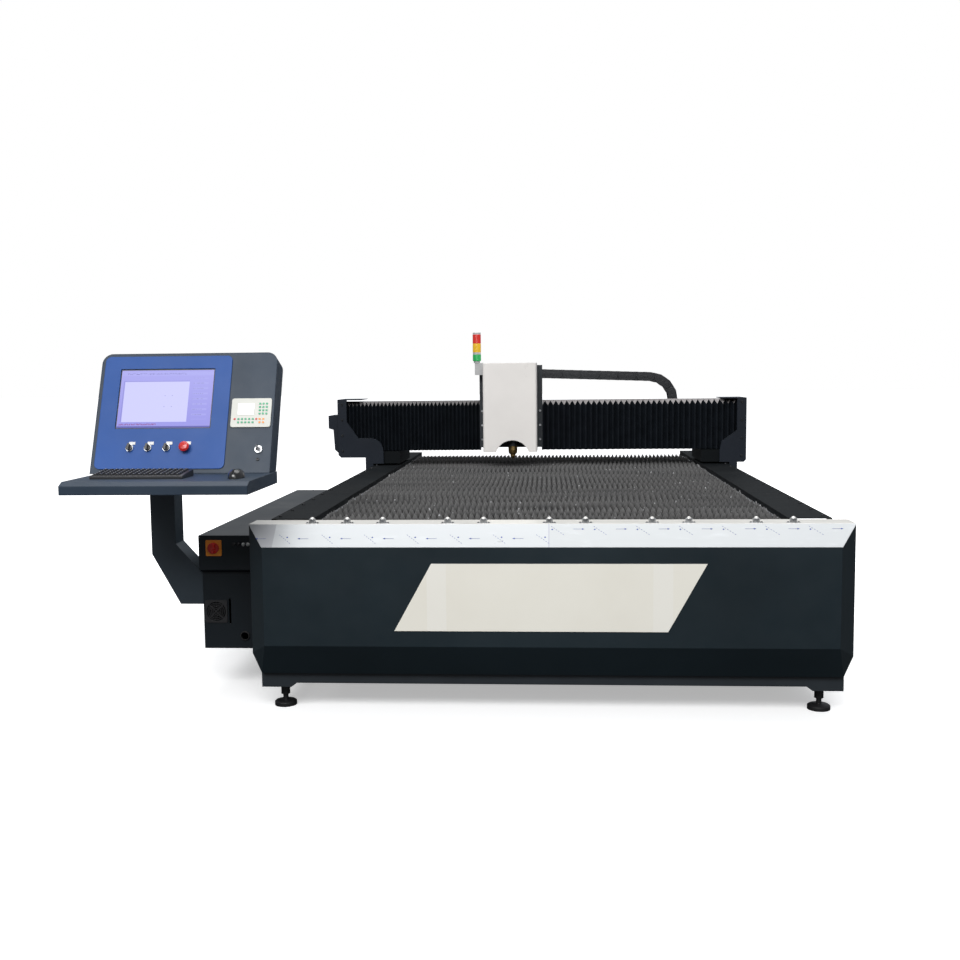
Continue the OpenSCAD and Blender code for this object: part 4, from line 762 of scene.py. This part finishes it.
def link(inset, pins):
    """One link along X from its pin at the origin: two side plates, two cross bars, pin heads."""
    solid = Solid()
    outline = [(LINK_R * math.cos(a), LINK_R * math.sin(a)) for a in (math.radians(90 + 15 * k) for k in range(13))]
    outline += [(PITCH - x, -z) for x, z in outline]
    middle = PITCH / 2
    for y in (inset, CHAIN_W - inset - LINK_T):
        solid.prism(outline, 0, LINK_T, moved(0, y + LINK_T, 0) @ FORWARD, 1.4)
        hub = y if y < CHAIN_W / 2 else y + LINK_T + 0.8
        for x in (0, PITCH) if pins else ():
            head = [(0, -0.6), (11, -0.6), (12, 0.2), (12, 0.8), (0, 0.8)]
            solid.lathe(head, moved(x, hub, 0) @ FORWARD, 20)
        solid.box((middle - 9, y - 0.6, -8), (middle + 9, y + LINK_T + 0.6, 8), None, 0.8)
    for z in (-LINK_R - 0.6, LINK_R - 4.4):
        solid.box((middle - 11, inset + 1, z), (middle + 11, CHAIN_W - inset - 1, z + LINK_T), None, 1.2)
    return pattern(solid, CHAIN_PLASTIC)


INNER, OUTER = link(5.4, False), link(0.0, True)


def chain_run(name, first, count, node):
    """Links from pin first on, as one piece that still needs its body."""
    points = [chain_pin(i) for i in range(first, first + count + 1)]
    data = bpy.data.meshes.new("pins")
    data.from_pydata([(x * 0.001, CHAIN_Y * 0.001, z * 0.001) for x, z in points[:-1]], [], [])
    turn, kind = (data.attributes.new(n, "FLOAT", "POINT") for n in ("turn", "kind"))
    for i, (p, q) in enumerate(zip(points, points[1:])):
        turn.data[i].value = -math.atan2(q[1] - p[1], q[0] - p[0])
        kind.data[i].value = (first + i) % 2
    made = grown(LINKS, data, Inner=INNER, Outer=OUTER, Material=CHAIN_PLASTIC)
    made.transform(TO_FRAME @ TO_MILLIMETRES)
    made.materials.clear()
    return finish_piece(made, name, None, [CHAIN_PLASTIC], [node])


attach(chain_run("chain_links_bend", UPPER, BEND, "chain_bend"), "chain_loop")
turn_x, reach = chain_pin(UPPER)[0], 1.25 * UPPER * PITCH
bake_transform(chain_run("chain_links_upper", 0, UPPER, "chain_upper"), "gantry", "carriage",
         start=at(turn_x + reach, 0, 0), end=at(turn_x - reach, 0, 0))
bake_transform(chain_run("chain_links_lower", UPPER + BEND, LOWER, "chain_lower"), "gantry", "chain_loop",
         start=at(BEND_X - LOWER * PITCH, 0, 0), end=at(BEND_X, 0, 0))


# Console

monitor = Solid().prism(round_outline(360, 236, 3), -24, 1.0, PANEL @ moved(0, 53, 0))
monitor.done("monitor_body", "bed", [BLACK_PLASTIC], "screen_glass", ["monitor"])
lit = bpy.data.meshes.new("monitor_screen")
corners = [(-177, -62), (177, -62), (177, 167), (-177, 167)]
lit.from_pydata([TO_FRAME @ PANEL @ Vector((u, v, 1.6)) for u, v in corners], [], [(0, 1, 2, 3)])
spots = lit.uv_layers.new(name="screen")
for loop, uv in zip(spots.data, ((0, 0), (1, 0), (1, 1), (0, 1))):
    loop.uv = uv
finish_piece(lit, "monitor_screen", "bed", [SCREEN])

PAD = PANEL @ moved(331, -7, 0)
pad = Solid()
pad.prism(round_outline(150, 113, 7), 0, 6, PAD, 1.2)
pad.use(1).prism(round_outline(62, 46, 2), 5.5, 6.8, PAD @ moved(-20, 14, 0))
pad.done("keypad_case", "bed", [KEYPAD, LCD], "keypad_film", ["height_keypad"])
dot = pattern(Solid().prism(round_outline(8, 7, 2), 0, 2, None, 0.5), KEY_GREEN)
for name, ink, spot, count_x, step_x, count_y in (
        ("side", KEY_GREEN, (32, -4), 3, 12.8, 4),
        ("low", KEY_GREEN, (-46, -38), 5, 13.5, 2),
        ("red", KEY_RED, (-60, -25), 2, 81, 1),
        ("orange", YELLOW, (34, -38), 2, 13.5, 2)):
    rows("keypad_keys_" + name, "bed", dot, ink, (*spot, 5.6), count_x, (step_x, 0, 0), count_y, (0, 13, 0),
         "keypad_film", matrix=PAD)

legend = pattern(Solid().prism(round_outline(24, 12, 2), 0, 1.6, None, 0.4), LABEL)
rows("switch_legends", "bed", legend, LABEL, (-108, -124, 4.0), 4, (70, 0, 0), slot="keypad_film", matrix=PANEL)
plug = Solid()
plug.lathe([(0, 0), (6, 0), (6, 2.5), (5, 4), (2.5, 4), (2.2, 1.5), (0, 1.5)], PANEL @ moved(367, -187, 0), 24)
plug.done("panel_plug", "bed", [BLACK_METAL], "steel")

TRAY_TOP = 899
BOARD = moved(-1597, -156, TRAY_TOP)
board = Solid()
board.prism([(0, 0), (126, 0), (126, 22), (120, 24), (4, 12), (0, 9)], 0, 332, BOARD @ SIDEWAYS, 1.5)
board.done("keyboard_base", "bed", [BLACK_PLASTIC], "black_plastic", ["keyboard"])
cap = Solid()
cap.prism(round_outline(16, 16, 2, 3), 0, 3)
cap.prism(round_outline(12.5, 13, 2, 3), 2.8, 6.5, None, 1.0)
cap = pattern(cap, BLACK_PLASTIC)
mark = pattern(Solid().prism(round_outline(4, 5, 1, 3), 0, 0.3), LABEL)
KEYS = (16, (19.6, 0, 0), 6, (0, 18.8, 1.85))
rows("keyboard_keys", "bed", cap, BLACK_PLASTIC, (18, 16, 12), *KEYS, "black_plastic", matrix=BOARD)
rows("keyboard_marks", "bed", mark, LABEL, (15.5, 18, 18.4), *KEYS, "black_plastic", matrix=BOARD)

MOUSE = moved(-1082, -125, TRAY_TOP) @ Matrix.Diagonal((1.0, 1.75, 1.0, 1.0))
shell = Solid()
slopes = [math.radians(10 * k) for k in range(9)]
dome = [(28 * math.cos(a) ** 0.6, 32 * math.sin(a)) for a in slopes] + [(0.0, 32.0)]
shell.lathe([(0, 0)] + dome, MOUSE, 40)
shell.use(1).box((-1084, -168, 919), (-1080, -140, 931), None, 1.0)
shell.done("mouse_shell", "bed", [MOUSE_PLASTIC, RUBBER], "black_plastic", ["mouse"])


# Cabinet front

bulb = [(0, 0), (7, 0), (7, 3), (5.5, 6), (3, 7.5), (0, 8)]
lamps = Solid()
for k, x in enumerate((-1222, -1204, -1185, -1167)):
    lamps.use(k // 2).lathe(bulb, moved(x, 300, 599) @ FORWARD, 20)
lamps.done("cabinet_indicators", "bed", [BLACK_PLASTIC, LABEL], "black_plastic")
BLADES = 7
fan = Solid()
hub = moved(-1313, 345, 325) @ FORWARD
for k in range(BLADES):
    blade = Matrix.Rotation(2 * math.pi * k / BLADES, 4, "Z") @ moved(22, 0, -4) @ Matrix.Rotation(0.6, 4, "X")
    fan.box((-11, -9, -0.8), (11, 9, 0.8), hub @ blade, 0.6)
fan.lathe([(0, -12), (12, -12), (12, 1), (0, 2)], hub, 24)
fan.done("fan_rotor", "bed", [BLACK_PLASTIC], "black_plastic")
gland = Solid()
ring = [(15.2, 0), (19, 0), (19, 5), (17, 7), (15.2, 7), (15.2, 0)]
gland.lathe(ring, moved(-1200, 340, 227) @ FORWARD, 32)
gland.done("port_grommet", "bed", [RUBBER], "black_plastic")


# Lamp

for name, z0, z1 in (("green", 1324, 1362), ("yellow", 1374, 1425), ("red", 1425.5, 1477)):
    tube = Solid()
    tube.lathe([(6.2, z0), (22.5, z0), (24, z0 + 2), (24, z1 - 2), (22.5, z1), (6.2, z1), (6.2, z0)],
               moved(-419, 2600, 0), 36)
    tube.done("lamp_" + name, "carriage", [LENSES[name]], "lamp_lens", ["lamp_lenses"] if name == "green" else ())


# Fasteners and film print

bolt = pattern(Solid().lathe([(0, 0), (6.5, 0), (6.5, 5), (5.8, 6), (3.6, 6), (3.4, 3), (0, 3)], None, 18), ZINC)
for side, x in (("left", -1025), ("right", 1025)):
    rows(f"rail_cover_screws_{side}", "bed", bolt, BLACK_METAL, (x, 260, 712), 18, (0, 198, 0), slot="black_metal")
front, flank = (moved(0, y, 0) @ FORWARD for y in (GANTRY_Y, GANTRY_Y + 16))
for side, x, z, step in (("left", -1231, 800, 92), ("right", 1119, 760, 104)):
    rows(f"end_screws_{side}", "gantry", bolt, BLACK_METAL, (x, z, 0), 4, (0, step, 0), slot="black_metal",
         matrix=front)
rows("carriage_screws", "carriage", bolt, ZINC, (-396, 862, 0), 2, (342, 0, 0), 3, (0, 84, 0), "steel", matrix=flank)

SINGLE_X, PAIR_X, PAIR_PITCH, PAIR_HALF, BALL_Y = -867.75, -671.5, 372.5, 66, 105
ball_places = [PAIR_X + PAIR_PITCH * k + side for k in range(5) for side in (-PAIR_HALF, PAIR_HALF)]
screw = [(0, 0), (3.4, 0), (3.2, 1.6), (1.8, 2.4), (0, 2.4)]
flanges = Solid()
for x in [SINGLE_X] + ball_places:
    flanges.use(0).prism(round_outline(50, 21, 9), 0, 1.6, moved(x, BALL_Y, STRIP_TOP))
    for side in (-19, 19):
        flanges.use(1).lathe(screw, moved(x + side, BALL_Y, STRIP_TOP + 1.5), 14)
flanges.done("ball_flanges", "bed", [ZINC, BLACK_METAL], "steel")

right_arrow = [(-20, 0.55), (11, 0.55), (11, 3.6), (20, 0), (11, -3.6), (11, -0.55), (-20, -0.55)]
facet_slope = math.atan2(STRIP_TOP - STRIP_T - FACE_TOP, STRIP_DEPTH)
facet = moved(0, -1.35, FACE_TOP + 1.5) @ Matrix.Rotation(facet_slope, 4, "X")  # the sloping face of the film
INK_T, MARKS, DASHES, DASH_TURN = 0.4, 7, 6, Matrix.Rotation(math.radians(-42), 4, "Z")
for side, way, arrow_at, tick_at, pitch, dot_at in (
        ("left", -1, (-1044, 40, 0.1), (-955, 38, 0.1), 156.4, (9, 8, 0)),
        ("right", 1, (114, 84, 0.1), (37, 77, 0.1), 152.8, (-19, 5, 0))):
    arrow = Solid().prism([(way * x, way * y) for x, y in right_arrow], 0, INK_T)
    tick = Solid()
    for x in (-30 + 11 * k for k in range(DASHES)):
        tick.box((x, -0.7, 0), (x + 5.5, 0.7, INK_T), DASH_TURN)
    tick.prism(round_outline(6, 6, 2.9), 0, INK_T, moved(*dot_at))
    for name, mark, spot in (("arrows", arrow, arrow_at), ("ticks", tick, tick_at)):
        rows(f"film_{name}_{side}", "bed", pattern(mark, INK), INK, spot, MARKS, (pitch, 0, 0), slot="bright_strip",
             matrix=facet)


# Stage, light and camera

def stage_floor():
    """A pale floor that fades to plain white for the camera away from the machine."""
    data = bpy.data.meshes.new("floor")
    data.from_pydata([(-60, -60, 0), (60, -60, 0), (60, 60, 0), (-60, 60, 0)], [], [(0, 1, 2, 3)])
    s = Shade("floor", Roughness=0.7, Specular_IOR_Level=0.1, Emission_Strength=1.0)
    x, y, _ = s.split(s.place)
    seen = s.node("ShaderNodeLightPath")["Is Camera Ray"]
    away = abs(x).ramp(1.3, 2.6).most(abs(y).ramp(2.0, 3.4))
    pale = s.noise(0.8, 2.0).mix((0.86, 0.86, 0.86), (0.90, 0.90, 0.90))
    glow = away.mix((0.42, 0.42, 0.42), (1.0, 1.0, 1.0))
    s.set(Base_Color=seen.mix((0.06, 0.06, 0.06), pale), Emission_Color=seen.mix((0.0, 0.0, 0.0), glow))
    data.materials.append(s.material)
    piece = bpy.data.objects.new("floor", data)
    bpy.context.scene.collection.objects.link(piece)


def lamp(name, place, aim, size, power):
    """A white area lamp at a place, turned to an aim."""
    data = bpy.data.lights.new(name, "AREA")
    data.shape, data.size, data.size_y = "RECTANGLE", *size
    data.energy = power
    piece = bpy.data.objects.new(name, data)
    piece.location = place
    piece.rotation_mode = "QUATERNION"
    piece.rotation_quaternion = (Vector(aim) - Vector(place)).to_track_quat("-Z", "Y")
    bpy.context.scene.collection.objects.link(piece)
    return piece


def sky():
    """A dim world that the camera sees as plain white."""
    world = bpy.data.worlds.new("studio")
    bpy.context.scene.world = world
    world.use_nodes = True
    tree = Tree(world.node_tree)
    world.node_tree.nodes.clear()
    rays = tree.node("ShaderNodeLightPath")
    seen = rays["Is Camera Ray"].most(rays["Is Transmission Ray"])
    dim = tree.node("ShaderNodeBackground", None, (0.84, 0.88, 0.94), 0.32)
    white = tree.node("ShaderNodeBackground", None, (1, 1, 1), 1.0)
    both = tree.node("ShaderNodeMixShader", None, seen, dim, white)
    tree.node("ShaderNodeOutputWorld", None, both)


stage_floor()
sky()
lamp("key", (-1.2, -7.4, 5.2), (-0.1, -0.6, 0.7), (6.5, 3.0), 525)
lamp("fill", (3.0, -7.0, 3.4), (0.2, -0.4, 0.7), (3.0, 3.0), 45)
lamp("top", (0.2, 0.4, 6.0), (0.2, 0.2, 0.6), (7.6, 5.0), 275)
rear = lamp("rear", (1.2, 7.6, 4.0), (0.0, 0.8, 0.6), (4.0, 3.0), 300)
rear.visible_glossy = False  # no glare along the level surfaces in the front view

# The camera as fitted to the photograph
PHOTO_SIZE, FOCAL, SENSOR = 960, 1122, 36.0  # pixels, pixels, millimetres
yaw, pitch, roll = math.radians(3.76), math.radians(5.46), math.radians(-0.60)
ahead, up = Vector((-math.sin(yaw), math.cos(yaw), 0)), Vector((0, 0, 1))
right = Vector((math.cos(yaw), math.sin(yaw), 0))
look = ahead * math.cos(pitch) - up * math.sin(pitch)
over = up * math.cos(pitch) + ahead * math.sin(pitch)
axis_x, axis_y = right * math.cos(roll) + over * math.sin(roll), over * math.cos(roll) - right * math.sin(roll)
eye = bpy.data.cameras.new("camera")
eye.sensor_width, eye.lens = SENSOR, SENSOR * FOCAL / PHOTO_SIZE
eye.clip_start, eye.clip_end = 0.1, 100.0
camera = bpy.data.objects.new("camera", eye)
turn = Matrix((axis_x, axis_y, -look)).transposed().to_4x4()
camera.matrix_world = Matrix.Translation(at(23, -3965, 1256)) @ turn
bpy.context.scene.collection.objects.link(camera)
bpy.context.scene.camera = camera
bpy.context.scene.view_settings.view_transform = "Standard"
